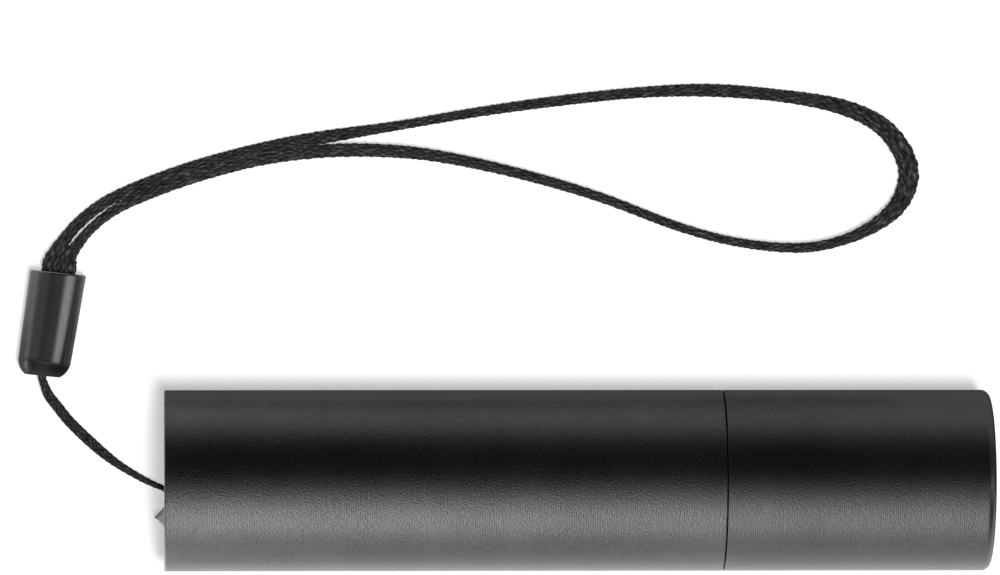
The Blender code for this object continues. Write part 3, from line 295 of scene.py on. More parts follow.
def ferrule_point(along, across, height):
    """World place at a reach along the ferrule from its base, and across it to its left."""
    direction = Vector((math.sin(FERRULE_TILT), math.cos(FERRULE_TILT), 0.0))
    left = Vector((-direction.y, direction.x, 0.0))
    return FERRULE_BASE + along * direction + across * left + Vector((0.0, 0.0, height))


def strap_rows():
    """The strap's centre line with its lean, both ends inside the ferrule's mouth."""
    height = FERRULE_RADIUS
    inner = FERRULE_FLOOR + FERRULE_CORE + 2 * FIT
    start = [ferrule_point(reach, STRAP_SPREAD, height) for reach in (inner, FERRULE_LENGTH)]
    end = [ferrule_point(reach, -STRAP_SPREAD, height) for reach in (FERRULE_LENGTH, inner)]
    middle = [(x * MM, y * MM, z * MM, lean) for x, y, z, lean in STRAP_ROUTE]
    first, last = STRAP_ROUTE[0][3], STRAP_ROUTE[-1][3]
    return [(*place, first) for place in start] + middle + [(*place, last) for place in end]


def string_pair(place, heading, turn):
    """The two strands' places beside a point, turned about the heading."""
    side = Vector((-heading.y, heading.x, 0.0)).normalized()
    offset = (side * math.cos(turn) - Vector((0.0, 0.0, 1.0)) * math.sin(turn)) * STRING_PAIR_PITCH / 2
    return place + offset, place - offset


def string_rows():
    """The string's centre line: from the ferrule, up through the lug's eye and back."""
    height = FERRULE_RADIUS
    centres = [ferrule_point(FERRULE_FLOOR, 0.0, height), ferrule_point(0.0, 0.0, height)]
    centres += [Vector(row[:3]) * MM for row in STRING_ROUTE]
    turns = [math.radians(STRING_ROUTE[0][3])] * 2 + [math.radians(row[3]) for row in STRING_ROUTE]
    out = []
    back = []
    for index, (place, turn) in enumerate(zip(centres, turns)):
        before = centres[max(index - 1, 0)]
        after = centres[min(index + 1, len(centres) - 1)]
        lower, upper = string_pair(place, after - before, turn)
        out.append(lower)
        back.append(upper)
    face = LUG_THICKNESS / 2 + STRING_DIAMETER / 2
    loop = []
    for side in (-1, 1):
        shifts = [(x * MM, y * MM, side * (face + gap * MM)) for x, y, gap in EYE_ROUTE]
        shifts.append((0.0, 0.0, side * 0.5 * LUG_THICKNESS))
        loop.append([LUG_EYE + Vector(shift) for shift in shifts])
    lower, upper = loop
    return [(*place, 0.0) for place in out + lower + upper[::-1] + back[::-1]]


def braid_height(around, along, strands, pitch):
    """Pillows of a plait, 0 to 1, where two families of strands cross over and under."""
    run = along / pitch
    sways = []
    for waves in PLAIT_SWAYS:
        sways.append(sum(reach * np.sin(pace * run + start) for reach, pace, start in waves))
    right_way = strands * around + run + sways[0]
    left_way = strands * around - run + sways[1]
    over = (np.floor(right_way) + np.floor(left_way)) % 2 == 0
    across = np.where(over, right_way % 1.0, left_way % 1.0)
    length = np.where(over, left_way % 1.0, right_way % 1.0)
    crown = np.sin(np.pi * across) ** PILLOW_POWER
    return crown * (PILLOW_END + (1.0 - PILLOW_END) * np.sin(np.pi * length) ** PILLOW_POWER)


def cord_directions(centre, lean):
    """Unit directions of a cord's width, leaned from upright, and of its thickness."""
    tangent = np.gradient(centre, axis=0)
    tangent /= np.linalg.norm(tangent, axis=1)[:, None]
    level = np.cross(tangent, (0.0, 0.0, 1.0))
    level /= np.maximum(np.linalg.norm(level, axis=1), 1e-9)[:, None]
    for index in range(1, len(level)):
        if level[index] @ level[index - 1] < 0.0:
            level[index] = -level[index]
    upright = np.cross(level, tangent)
    width_way = upright * np.cos(lean)[:, None] + level * np.sin(lean)[:, None]
    return width_way, np.cross(tangent, width_way)


def tube_faces(rings, sides):
    """Faces of a closed tube whose points are listed ring by ring."""
    faces = []
    for ring in range(rings - 1):
        for side in range(sides):
            after = (side + 1) % sides
            faces.append((
                ring * sides + side, ring * sides + after,
                (ring + 1) * sides + after, (ring + 1) * sides + side,
            ))
    faces.append(tuple(range(sides))[::-1])
    faces.append(tuple(range((rings - 1) * sides, rings * sides)))
    return faces


def braided_cord(name, rows, half_width, half_thickness, strands, pitch, relief, step, sides):
    """A plaited cord as one closed mesh: oval section, its width upright and then leaned."""
    fine, length = smooth_rows(rows, step)
    centre = fine[:, :3]
    width_way, thin_way = cord_directions(centre, np.radians(fine[:, 3]))
    turn = np.arange(sides) / sides
    angle = math.tau * turn
    oval_width = half_width * np.sign(np.sin(angle)) * np.abs(np.sin(angle)) ** OVAL_POWER
    oval_thin = half_thickness * np.sign(np.cos(angle)) * np.abs(np.cos(angle)) ** OVAL_POWER
    along = np.linspace(0.0, length, len(centre))
    height = braid_height(turn[None, :], along[:, None], strands, pitch)
    inset = relief * (1.0 - height)
    shrink = 1.0 - inset / np.hypot(oval_width, oval_thin)[None, :]
    points = (
        centre[:, None, :]
        + width_way[:, None, :] * (oval_width[None, :] * shrink)[:, :, None]
        + thin_way[:, None, :] * (oval_thin[None, :] * shrink)[:, :, None]
    )
    vertices = [tuple(point) for point in points.reshape(-1, 3)]
    mesh = bpy.data.meshes.new(name)
    mesh.from_pydata(vertices, [], tube_faces(len(centre), sides))
    bm = bmesh.new()
    bm.from_mesh(mesh)
    bmesh.ops.recalc_face_normals(bm, faces=bm.faces)
    bm.to_mesh(mesh)
    bm.free()
    girth = math.tau * (half_width + half_thickness) / 2
    marks = {
        # the pillows' height, also used for painted shade between the bumps
        "raised_for_shade": height,
        "along": np.broadcast_to(along[:, None], height.shape),
        "around": np.broadcast_to(girth * turn[None, :], height.shape),
    }
    for mark, values in marks.items():
        attribute = mesh.attributes.new(mark, "FLOAT", "POINT")
        attribute.data.foreach_set("value", values.astype(np.float32).ravel())
    mesh.shade_smooth()
    path = [tuple(place) for place in centre[::PATH_STEP]] + [tuple(centre[-1])]
    return add_object(name, mesh), path, length


def finish_mesh(bm, name):
    """A bmesh as a linked object, smooth except at its edges."""
    bmesh.ops.remove_doubles(bm, verts=bm.verts, dist=1e-8)
    bmesh.ops.recalc_face_normals(bm, faces=bm.faces)
    mesh = bpy.data.meshes.new(name)
    bm.to_mesh(mesh)
    bm.free()
    mesh.shade_smooth()
    mesh.set_sharp_from_angle(angle=SMOOTH_ANGLE)
    return add_object(name, mesh)


def held_ends(outline):
    """The outline with a point close to each end of its long lines, so that they shade flat."""
    points = []
    for (x, radius), (next_x, next_radius) in zip(outline, outline[1:] + outline[:1]):
        points.append((x, radius))
        length = math.hypot(next_x - x, next_radius - radius)
        if length > LONG_LINE:
            for share in (HOLD / length, 1.0 - HOLD / length):
                points.append((x + share * (next_x - x), radius + share * (next_radius - radius)))
    return points


def lathe(name, outline, segments=FINE_SEGMENTS):
    """An outline of (x, radius) points spun round the barrel's axis."""
    closed = outline[0][1] > 0.0
    outline = held_ends(outline) if closed else held_ends(outline)[:-2]
    bm = bmesh.new()
    points = [bm.verts.new((x, 0.0, AXIS_Z - radius)) for x, radius in outline]
    edges = [bm.edges.new(pair) for pair in zip(points, points[1:])]
    if closed:
        edges.append(bm.edges.new((points[-1], points[0])))
    bmesh.ops.spin(
        bm, geom=points + edges, cent=(0.0, 0.0, AXIS_Z), axis=(1.0, 0.0, 0.0),
        angle=math.tau, steps=segments, use_merge=True,
    )
    return finish_mesh(bm, name)


def arc(centre, radius, start, end, steps=8):
    """Points on an arc round (x, radius), angles in degrees."""
    points = []
    for step in range(steps + 1):
        angle = math.radians(start + (end - start) * step / steps)
        points.append((centre[0] + radius * math.cos(angle), centre[1] + radius * math.sin(angle)))
    return points


def dress(piece, material, body, slot, *nodes):
    """Material, body and the nodes that the piece stands for; the slot is not used."""
    piece.data.materials.clear()
    piece.data.materials.append(material)
    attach(piece, body)
    if nodes:
        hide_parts(*nodes)
    return piece


class Look:
    """A node material with short ways to add the usual textures."""

    def __init__(self, name, roughness, metallic=0.0, **sockets):
        self.material = bpy.data.materials.new(name)
        self.material.use_nodes = True
        self.tree = self.material.node_tree
        self.shader = self.tree.nodes["Principled BSDF"]
        self.shader.inputs["Roughness"].default_value = roughness
        self.shader.inputs["Metallic"].default_value = metallic
        for socket, value in sockets.items():
            self.shader.inputs[socket.replace("_", " ")].default_value = value
        self.place = self.node("ShaderNodeTexCoord").outputs["Object"]
        self.height = None

    def node(self, kind, **values):
        """A new node with its settings."""
        made = self.tree.nodes.new(kind)
        for key, value in values.items():
            setattr(made, key, value)
        return made

    def link(self, output, socket):
        """An output led to a socket."""
        self.tree.links.new(output, socket)

    def stretch(self, scale):
        """Object coordinates scaled unlike along the axes."""
        mapping = self.node("ShaderNodeMapping")
        mapping.inputs["Scale"].default_value = scale
        self.link(self.place, mapping.inputs["Vector"])
        return mapping.outputs["Vector"]

    def math(self, operation, *values):
        """The result of a calculation with sockets or plain numbers."""
        return add_math(self.tree, operation, *values)

    def noise(self, scale, detail=3.0, vector=None):
        """A noise value; scale is in waves per metre."""
        noise = self.node("ShaderNodeTexNoise")
        noise.inputs["Scale"].default_value = scale
        noise.inputs["Detail"].default_value = detail
        self.link(self.place if vector is None else vector, noise.inputs["Vector"])
        return noise.outputs["Fac"]

    def colour(self, value, stops):
        """The base colour by a value; stops are (place, colour)."""
        ramp = self.node("ShaderNodeValToRGB")
        elements = ramp.color_ramp.elements
        while len(elements) < len(stops):
            elements.new(0.5)
        for element, (place, colour) in zip(elements, stops):
            element.position = place
            element.color = (*colour, 1.0)
        self.link(value, ramp.inputs["Fac"])
        self.link(ramp.outputs["Color"], self.shader.inputs["Base Color"])

    def rough(self, value, low, high):
        """Roughness from low to high with a value of 0.3 to 0.7."""
        spread = add_range(self.tree, value, 0.3, 0.7, low, high, easing="LINEAR")
        self.link(spread, self.shader.inputs["Roughness"])

    def bump(self, value, depth, strength=1.0):
        """One more layer of relief, its depth in metres."""
        bump = self.node("ShaderNodeBump")
        bump.inputs["Distance"].default_value = depth
        bump.inputs["Strength"].default_value = strength
        self.link(value, bump.inputs["Height"])
        if self.height is not None:
            self.link(self.height, bump.inputs["Normal"])
        self.height = bump.outputs["Normal"]
        self.link(self.height, self.shader.inputs["Normal"])


def grey(level):
    """A neutral colour of one level."""
    return (level, level, level)


def turned_metal(name, dark, light, roughness, pitch, line_depth, grain_depth):
    """Anodised turned metal: fine feed lines round it, a blasted grain, slow changes of tone."""
    look = Look(name, roughness, metallic=1.0)
    wander = look.noise(1.0, 2.0, look.stretch((90.0, 500.0, 500.0)))
    shift = look.math("MULTIPLY", wander, 5.0)
    along = add_axes(look.tree, "Object")[0]
    lines = look.math("SINE", look.math("MULTIPLY_ADD", along, math.tau / pitch, shift))
    patch = look.noise(1.0, 2.0, look.stretch((260.0, 420.0, 420.0)))
    strength = look.math("MULTIPLY_ADD", patch, 2.0, -0.45)
    lines = look.math("MULTIPLY", lines, strength)
    lines = look.math("MULTIPLY_ADD", lines, 0.5, 0.5)
    grain = look.noise(4300.0, 1.5)
    cloud = look.noise(45.0, 3.0)
    mottle = look.noise(1.0, 2.5, look.stretch((240.0, 130.0, 130.0)))
    tone = look.math("MULTIPLY", grain, 0.6)
    for layer, share in ((lines, 0.06), (cloud, 0.34), (mottle, 0.16)):
        tone = look.math("MULTIPLY_ADD", layer, share, tone)
    look.colour(tone, [(0.33, grey(dark)), (0.83, grey(light))])
    look.rough(cloud, roughness - 0.03, roughness + 0.03)
    look.bump(lines, line_depth)
    look.bump(grain, grain_depth)
    return look.material


def plain_metal(name, colour, roughness, depth=0.004 * MM):
    """Plated or turned small metal parts."""
    look = Look(name, roughness, metallic=1.0)
    spots = look.noise(900.0, 4.0)
    look.colour(spots, [(0.3, tuple(0.82 * c for c in colour)), (0.7, colour)])
    look.rough(look.noise(2500.0), roughness - 0.06, roughness + 0.1)
    look.bump(look.noise(5000.0), depth)
    return look.material


def moulded(name, colour, roughness, depth=0.006 * MM, scale=3500.0):
    """Moulded rubber or plastic with a fine spark-eroded grain."""
    look = Look(name, roughness)
    look.colour(look.noise(500.0, 4.0), [(0.3, tuple(0.8 * c for c in colour)), (0.7, colour)])
    look.rough(look.noise(scale), roughness - 0.08, roughness + 0.08)
    look.bump(look.noise(scale, 4.0), depth)
    return look.material


def circuit_board():
    """Solder mask over copper tracks."""
    look = Look("circuit_board", 0.35, Coat_Weight=0.3)
    cells = look.node("ShaderNodeTexVoronoi", feature="DISTANCE_TO_EDGE")
    cells.inputs["Scale"].default_value = 900.0
    look.link(look.place, cells.inputs["Vector"])
    tracks = cells.outputs["Distance"]
    look.colour(tracks, [(0.04, (0.05, 0.26, 0.1)), (0.09, (0.015, 0.12, 0.045))])
    look.bump(tracks, 0.01 * MM, 0.3)
    return look.material


def cell_wrap():
    """Shrink wrap with faint shrink marks."""
    look = Look("cell_wrap", 0.32, Coat_Weight=0.4)
    marks = look.noise(1.0, 3.0, look.stretch((120.0, 900.0, 900.0)))
    look.colour(marks, [(0.3, (0.03, 0.14, 0.36)), (0.7, (0.05, 0.2, 0.46))])
    look.bump(marks, 0.02 * MM, 0.4)
    return look.material


def fibre_paper():
    """Pressed paper with fibres that run along X."""
    look = Look("fibre_paper", 0.85)
    fibres = look.noise(1.0, 5.0, look.stretch((500.0, 2500.0, 2500.0)))
    look.colour(fibres, [(0.3, (0.6, 0.57, 0.48)), (0.7, (0.74, 0.72, 0.64))])
    look.bump(fibres, 0.02 * MM)
    return look.material


def phosphor():
    """The emitter's yellow phosphor, finely grained."""
    look = Look("phosphor", 0.5)
    look.colour(look.noise(6000.0), [(0.3, (0.75, 0.5, 0.05)), (0.7, (0.9, 0.68, 0.12))])
    look.bump(look.noise(8000.0), 0.01 * MM)
    return look.material


def clear_glass(name, tint, roughness):
    """Clear glass or silicone with the faintest unevenness."""
    look = Look(name, roughness, Transmission_Weight=1.0, IOR=1.49)
    look.colour(look.noise(40.0), [(0.3, tint), (0.7, tuple(min(1.0, 1.01 * c) for c in tint))])
    look.rough(look.noise(300.0), roughness, roughness + 0.02)
    return look.material


def braid_yarn(name, low, high, across, along):
    """Nylon yarn: painted shade between the plait's bumps, with fine fibres that run lengthways."""
    look = Look(name, 0.6, Sheen_Weight=0.04, Sheen_Roughness=0.4, Specular_IOR_Level=0.2)
    raised_for_shade = look.node("ShaderNodeAttribute", attribute_name="raised_for_shade").outputs["Fac"]
    run = look.node("ShaderNodeCombineXYZ")
    for axis, (mark, scale) in enumerate((("along", along), ("around", across))):
        place = look.node("ShaderNodeAttribute", attribute_name=mark).outputs["Fac"]
        look.link(look.math("MULTIPLY", place, scale), run.inputs[axis])
    fibres = look.noise(1.0, 4.0, run.outputs[0])
    flecks = look.noise(0.45, 2.0, run.outputs[0])
    streaks = look.math("MULTIPLY_ADD", flecks, 0.5, look.math("MULTIPLY", fibres, 0.5))
    # Painted shade: the colour is darker where the plait's pillows are low, between its bumps
    tone = look.math("MULTIPLY_ADD", raised_for_shade, 0.25, look.math("MULTIPLY_ADD", streaks, 1.9, -0.53))
    look.colour(tone, [(0.25, grey(low)), (0.6, grey(high / 4)), (0.85, grey(high))])
    look.rough(look.noise(across), 0.5, 0.75)
    look.bump(fibres, 0.08 * MM)
    return look.material


def polished_gunmetal():
    """The ferrule: satin polish with faint wear, rougher and darker by painted shade round its base but
    for the left side.
    """
    look = Look("gunmetal", 0.3, metallic=1.0)
    wear = look.noise(1800.0, 4.0)
    x, y = add_axes(look.tree, "Object")[:2]
    masks = []
    for slope_x, slope_y, places in (
        (math.sin(FERRULE_TILT), math.cos(FERRULE_TILT), POLISH_SHADE_ALONG),
        (-math.cos(FERRULE_TILT), math.sin(FERRULE_TILT), POLISH_SHADE_ACROSS),
    ):
        start = -FERRULE_BASE.x * slope_x - FERRULE_BASE.y * slope_y
        reach = look.math("MULTIPLY_ADD", x, slope_x, start)
        reach = look.math("MULTIPLY_ADD", y, slope_y, reach)
        masks.append(add_range(look.tree, reach, *places))
    polished_unshaded = look.math("MAXIMUM", *masks)
    # Painted shade: the colour is darker round the ferrule's base, except on its left side
    bright = look.math("MULTIPLY_ADD", polished_unshaded, 0.75, look.math("MULTIPLY", wear, 0.25))
    tones = ((0.05, 0.036), (0.2, 0.044), (0.8, 0.2), (0.95, 0.25))
    look.colour(bright, [(place, grey(level)) for place, level in tones])
    dull = look.math("MULTIPLY_ADD", look.noise(260.0, 3.0), 0.15, 0.85)
    look.rough(look.math("MULTIPLY_ADD", polished_unshaded, -0.85, dull), 0.23, 0.62)
    look.bump(wear, 0.0012 * MM)
    return look.material


def make_looks():
    """All materials by name."""
    return {
        "barrel": turned_metal("body_anodised", 0.1, 0.21, 0.3, 0.309 * MM, 0.0095 * MM, 0.045 * MM),
        "head": turned_metal("head_anodised", 0.1, 0.19, 0.31, 0.284 * MM, 0.0095 * MM, 0.04 * MM),
        "neck": turned_metal("neck_anodised", 0.09, 0.14, 0.28, 0.2 * MM, 0.002 * MM, 0.004 * MM),
        "lug": plain_metal("lug_zinc", (0.52, 0.52, 0.52), 0.6, 0.001 * MM),
        "seal": moulded("seal_rubber", grey(0.02), 0.55, 0.002 * MM),
        "button": moulded("button_rubber", grey(0.035), 0.7),
        "switch_plastic": moulded("black_plastic", grey(0.04), 0.5),
        "circuit_board": circuit_board(),
        "led_board": moulded("white_mask", grey(0.75), 0.35, 0.002 * MM),
        "brass": plain_metal("brass", (0.72, 0.52, 0.22), 0.32),
        "nickel": plain_metal("nickel", (0.66, 0.65, 0.61), 0.26),
        "cell_wrap": cell_wrap(),
        "insulation": fibre_paper(),
        "chip": moulded("chip_package", grey(0.035), 0.5, 0.003 * MM),
        "emitter": phosphor(),
        "led_dome": clear_glass("silicone_dome", (0.98, 0.98, 0.96), 0.02),
        "lead": moulded("red_lead", (0.4, 0.03, 0.03), 0.45, 0.002 * MM),
        "lens": clear_glass("lens_glass", (0.97, 0.99, 1.0), 0.0),
        "ferrule": polished_gunmetal(),
        "cord": braid_yarn("string_yarn", 0.003, 0.12, 9000.0, 2500.0),
        "strap": braid_yarn("strap_yarn", 0.001, 0.145, 5200.0, 1100.0),
    }


def make_cords(looks):
    """The wrist strap, the doubled string and the ferrule."""
    strap, strap_path, strap_length = braided_cord(
        "wrist_strap_braid", strap_rows(), STRAP_WIDTH / 2, STRAP_THICKNESS / 2,
        strands=7, pitch=1.65 * MM, relief=0.37 * MM, step=0.11 * MM, sides=96,
    )
    dress(strap, looks["strap"], "barrel", "strap", "wrist_strap")
    string, string_path, string_length = braided_cord(
        "lanyard_string", string_rows(), STRING_DIAMETER / 2, STRING_DIAMETER / 2,
        strands=4, pitch=0.9 * MM, relief=0.08 * MM, step=0.06 * MM, sides=36,
    )
    dress(string, looks["cord"], "barrel", "cord", "lanyard_cord")
    ferrule = make_ferrule(looks)


def make_ferrule(looks):
    """The bullet shaped cord end, with a rounded base and a thin lip at its mouth."""
    base = 2.35 * MM
    shoulder = 3.5 * MM
    bore = 2.9 * MM
    hole = 1.1 * MM
    hole_break = 0.15 * MM
    round_length = 1.8 * MM
    round_steps = 12
    bulge_height = 0.16 * MM
    lip = 0.3 * MM
    outline = [(hole_break, hole), (0.0, hole + hole_break), (0.0, base - 0.2 * MM)]
    for step in range(round_steps + 1):
        share = step / round_steps
        bulge = bulge_height * math.sin(math.pi * share)
        outline.append((round_length * share - bulge, base + (shoulder - base) * share + bulge))
    outline += [(6.0 * MM, 3.6 * MM), (12.0 * MM, 3.71 * MM)]
    outline += arc((FERRULE_LENGTH - lip, FERRULE_RADIUS - lip), lip, 90.0, 0.0, 5)
    outline += [(FERRULE_LENGTH, bore + 0.25 * MM), (FERRULE_LENGTH - 0.25 * MM, bore)]
    outline += [(FERRULE_FLOOR, bore), (FERRULE_FLOOR, hole)]
    piece = lathe("ferrule_shell", outline, FERRULE_SEGMENTS)
    place = Matrix.Translation(ferrule_point(0.0, 0.0, FERRULE_RADIUS))
    turn = Matrix.Rotation(math.pi / 2 - FERRULE_TILT, 4, "Z")
    skew = Matrix.Identity(4)
    skew[0][1] = -FERRULE_SKEW
    drop = Matrix.Translation((0.0, 0.0, -AXIS_Z))
    piece.data.transform(place @ turn @ skew @ drop)
    return dress(piece, looks["ferrule"], "barrel", "ferrule", "lanyard_ferrule")


def make_barrel(looks):
    """Body tube and head sleeve with their roundings, bores and the seam's broken edges."""
    tail_bore_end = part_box("switch_contact_ring")[1].x + 0.1 * MM
    outline = [(TAIL_X + FIT, TAIL_BORE_RADIUS), (TAIL_X, TAIL_BORE_RADIUS + FIT)]
    outline += arc((TAIL_X + TAIL_ROUND, BARREL_RADIUS - TAIL_ROUND), TAIL_ROUND, 180.0, 90.0)
    seam = SEAM_X - SEAM_SHIFT / 3
    outline += arc((seam - SEAM_BREAK, BARREL_RADIUS - SEAM_BREAK), SEAM_BREAK, 90.0, 0.0, 4)
    outline += [
        (seam, CELL_BORE_RADIUS), (tail_bore_end, CELL_BORE_RADIUS), (tail_bore_end, TAIL_BORE_RADIUS),
    ]
    body = lathe("body_shell", outline)
    dress(body, looks["barrel"], "barrel", "barrel", "body_tube")
    head_x = HEAD_LOW.x - SEAM_SHIFT
    bore = BARREL_RADIUS - HEAD_WALL
    lens_low, lens_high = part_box("focus_lens")
    ring_low, ring_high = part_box("head_snap_ring")
    groove = bore + 0.4 * MM
    rib = (lens_high.z - lens_low.z) / 2 - 1.0 * MM
    half_fit = FIT / 2
    seat_x = lens_low.x - 0.1 * MM
    rib_x = seat_x - 1.4 * MM
    outline = [(head_x + FINE_BREAK, bore), (head_x, bore + FINE_BREAK)]
    outline += arc((head_x + SEAM_BREAK, BARREL_RADIUS - SEAM_BREAK), SEAM_BREAK, 180.0, 90.0, 4)
    outline += arc((FRONT_X - FRONT_ROUND, BARREL_RADIUS - FRONT_ROUND), FRONT_ROUND, 90.0, 0.0, 12)
    outline += [
        (FRONT_X, LENS_BORE_RADIUS + FINE_BREAK), (FRONT_X - FINE_BREAK, LENS_BORE_RADIUS),
        (seat_x, LENS_BORE_RADIUS), (seat_x, rib), (rib_x, rib), (rib_x, bore),
        (ring_high.x + half_fit, bore), (ring_high.x + half_fit, groove),
        (ring_low.x - half_fit, groove), (ring_low.x - half_fit, bore),
    ]
    head = lathe("head_shell", outline)
    dress(head, looks["head"], "head", "barrel", "head_sleeve")


def make_front(looks):
    """Bezel ring with a stepped bore, and the domed lens."""
    low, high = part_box("front_bezel")
    outer = LENS_BORE_RADIUS - FIT
    inner = outer - 0.7 * MM
    mouth_break = 0.3 * MM
    groove = inner + 0.12 * MM
    outline = [(low.x, inner), (low.x, outer)]
    outline += [(high.x - FINE_BREAK, outer), (high.x, outer - FINE_BREAK)]
    outline += [(high.x, inner + mouth_break), (high.x - mouth_break, inner)]
    for depth in (2.2, 3.4, 4.6):
        x = high.x - depth * MM
        outline += [(x + 0.3 * MM, inner), (x + 0.2 * MM, groove), (x, groove), (x - 0.1 * MM, inner)]
    bezel = lathe("bezel_ring", outline)
    dress(bezel, looks["head"], "head", "barrel", "front_bezel")
    low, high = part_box("focus_lens")
    edge = 2.0 * MM
    edge_break = 0.1 * MM
    radius = LENS_BORE_RADIUS - FIT
    dome = 8.7 * MM
    dome_steps = 32
    rise = high.x - low.x - edge
    sphere = (dome ** 2 + rise ** 2) / (2 * rise)
    middle = high.x - sphere
    reach = math.asin(dome / sphere)
    outline = [(low.x, 0.0), (low.x, radius - edge_break), (low.x + edge_break, radius)]
    outline += [(low.x + edge - edge_break, radius), (low.x + edge, radius - edge_break)]
    for step in range(dome_steps + 1):
        angle = reach * (1 - step / dome_steps)
        outline.append((middle + sphere * math.cos(angle), max(0.0, sphere * math.sin(angle))))
    lens = lathe("lens_body", outline)
    dress(lens, looks["lens"], "head", "lens", "focus_lens")


def make_tail(looks):
    """Cover ring with its button well, the peaked lug and the push button."""
    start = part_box("tail_seal_ring")[0].x - 0.75 * MM
    length = 2.2 * MM
    outer = TAIL_BORE_RADIUS - FIT
    hole = 5.3 * MM
    hole_break = 0.25 * MM
    groove = outer - 1.0 * MM
    groove_start = start + 0.5 * MM
    groove_end = start + 1.7 * MM
    cut_depth = 0.06 * MM
    outline = [(start + hole_break, hole), (start, hole + hole_break)]
    for radius in (6.4, 7.0, 7.6, 8.2, 8.8, 9.4):
        outline.append((start, (radius - 0.12) * MM))
        outline.append((start + cut_depth, radius * MM))
        outline.append((start, (radius + 0.12) * MM))
    outline += [(start, outer - FINE_BREAK), (start + FINE_BREAK, outer)]
    outline += [(groove_start, outer), (groove_start, groove)]
    outline += [(groove_end, groove), (groove_end, outer)]
    outline += [(start + length, outer), (start + length, hole)]
    cover = lathe("cover_ring", outline)
    dress(cover, looks["barrel"], "barrel", "barrel", "tail_cover")
    make_lug(looks, start)
    low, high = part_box("tail_button")
    radius = 5.0 * MM
    flange = radius + 1.0 * MM
    flange_x = high.x - 0.8 * MM
    rounding = 0.8 * MM
    face = (
        (0.15, 0.0), (0.12, 1.2), (0.03, 2.4), (0.0, 3.2),
        (0.0, 3.4), (0.12, 3.5), (0.12, 3.75), (0.0, 3.85),
    )
    outline = [(low.x + depth * MM, reach * MM) for depth, reach in face]
    outline += arc((low.x + rounding, radius - rounding), rounding, 180.0, 90.0)
    outline += [(flange_x, radius), (flange_x, flange), (high.x, flange), (high.x, 0.0)]
    button = lathe("button_cap", outline, PART_SEGMENTS)
    dress(button, looks["button"], "button", "button", "tail_button")


def make_lug(looks, root):
    """The peaked lug: a leaning top with a broad facet on one side, and the string's eye."""
    half = 1.5 * MM
    broad = 0.42 * MM
    narrow = 0.1 * MM
    lean = math.tan(math.radians(17.0))
    tip = COVER_LOW.x - 0.08 * MM
    low = LUG_EYE.z - LUG_THICKNESS / 2
    high = low + LUG_THICKNESS
    outline = ((root, -half), (root, half), (tip + half, half), (tip, 0.0), (tip + half, -half))
    top = (
        (root, narrow - half), (root, half - broad),
        (tip + half - broad + broad * math.sqrt(2.0), half - broad),
        (tip + (broad + narrow) / math.sqrt(2.0), (narrow - broad) / math.sqrt(2.0)),
        (tip + half - narrow + narrow * math.sqrt(2.0), narrow - half),
    )
    drops = (narrow, broad, broad, 0.7 * broad, narrow)
    rings = ([], [], [])
    bm = bmesh.new()
    for (x, side), (top_x, top_side), drop in zip(outline, top, drops):
        height = high - lean * (half - broad - top_side)
        rings[0].append(bm.verts.new((x, LUG_EYE.y + side, low)))
        rings[1].append(bm.verts.new((x, LUG_EYE.y + side, height - drop)))
        rings[2].append(bm.verts.new((top_x, LUG_EYE.y + top_side, height)))
    bm.faces.new(rings[0][::-1])
    bm.faces.new(rings[2])
    for lower, upper in zip(rings, rings[1:]):
        for index in range(5):
            after = (index + 1) % 5
            bm.faces.new((lower[index], lower[after], upper[after], upper[index]))
    lug = finish_mesh(bm, "lanyard_lug")
    eye_radius = 0.7 * MM
    eye = bpy.data.meshes.new("eye_cutter")
    bm = bmesh.new()
    bmesh.ops.create_cone(
        bm, cap_ends=True, segments=48, radius1=eye_radius, radius2=eye_radius,
        depth=2 * LUG_THICKNESS, matrix=Matrix.Translation(LUG_EYE),
    )
    bm.to_mesh(eye)
    bm.free()
    cut_away(lug, add_object("eye_cutter", eye), 0.05 * MM)
    lug.data.shade_flat()
    dress(lug, looks["lug"], "barrel", "barrel")


def cut_away(piece, cutter, edge_width=None):
    """The piece without the cutter's space, its edges bevelled where a width is given."""
    cut = piece.modifiers.new("cut", "BOOLEAN")
    cut.object = cutter
    cut.solver = "EXACT"
    if edge_width:
        bevel = piece.modifiers.new("edges", "BEVEL")
        bevel.width = edge_width
        bevel.segments = 2
        bevel.limit_method = "ANGLE"
        bevel.angle_limit = BEVEL_ANGLE
    graph = bpy.context.evaluated_depsgraph_get()
    final = bpy.data.meshes.new_from_object(piece.evaluated_get(graph))
    piece.modifiers.clear()
    piece.data = final
    bpy.data.objects.remove(cutter, do_unlink=True)


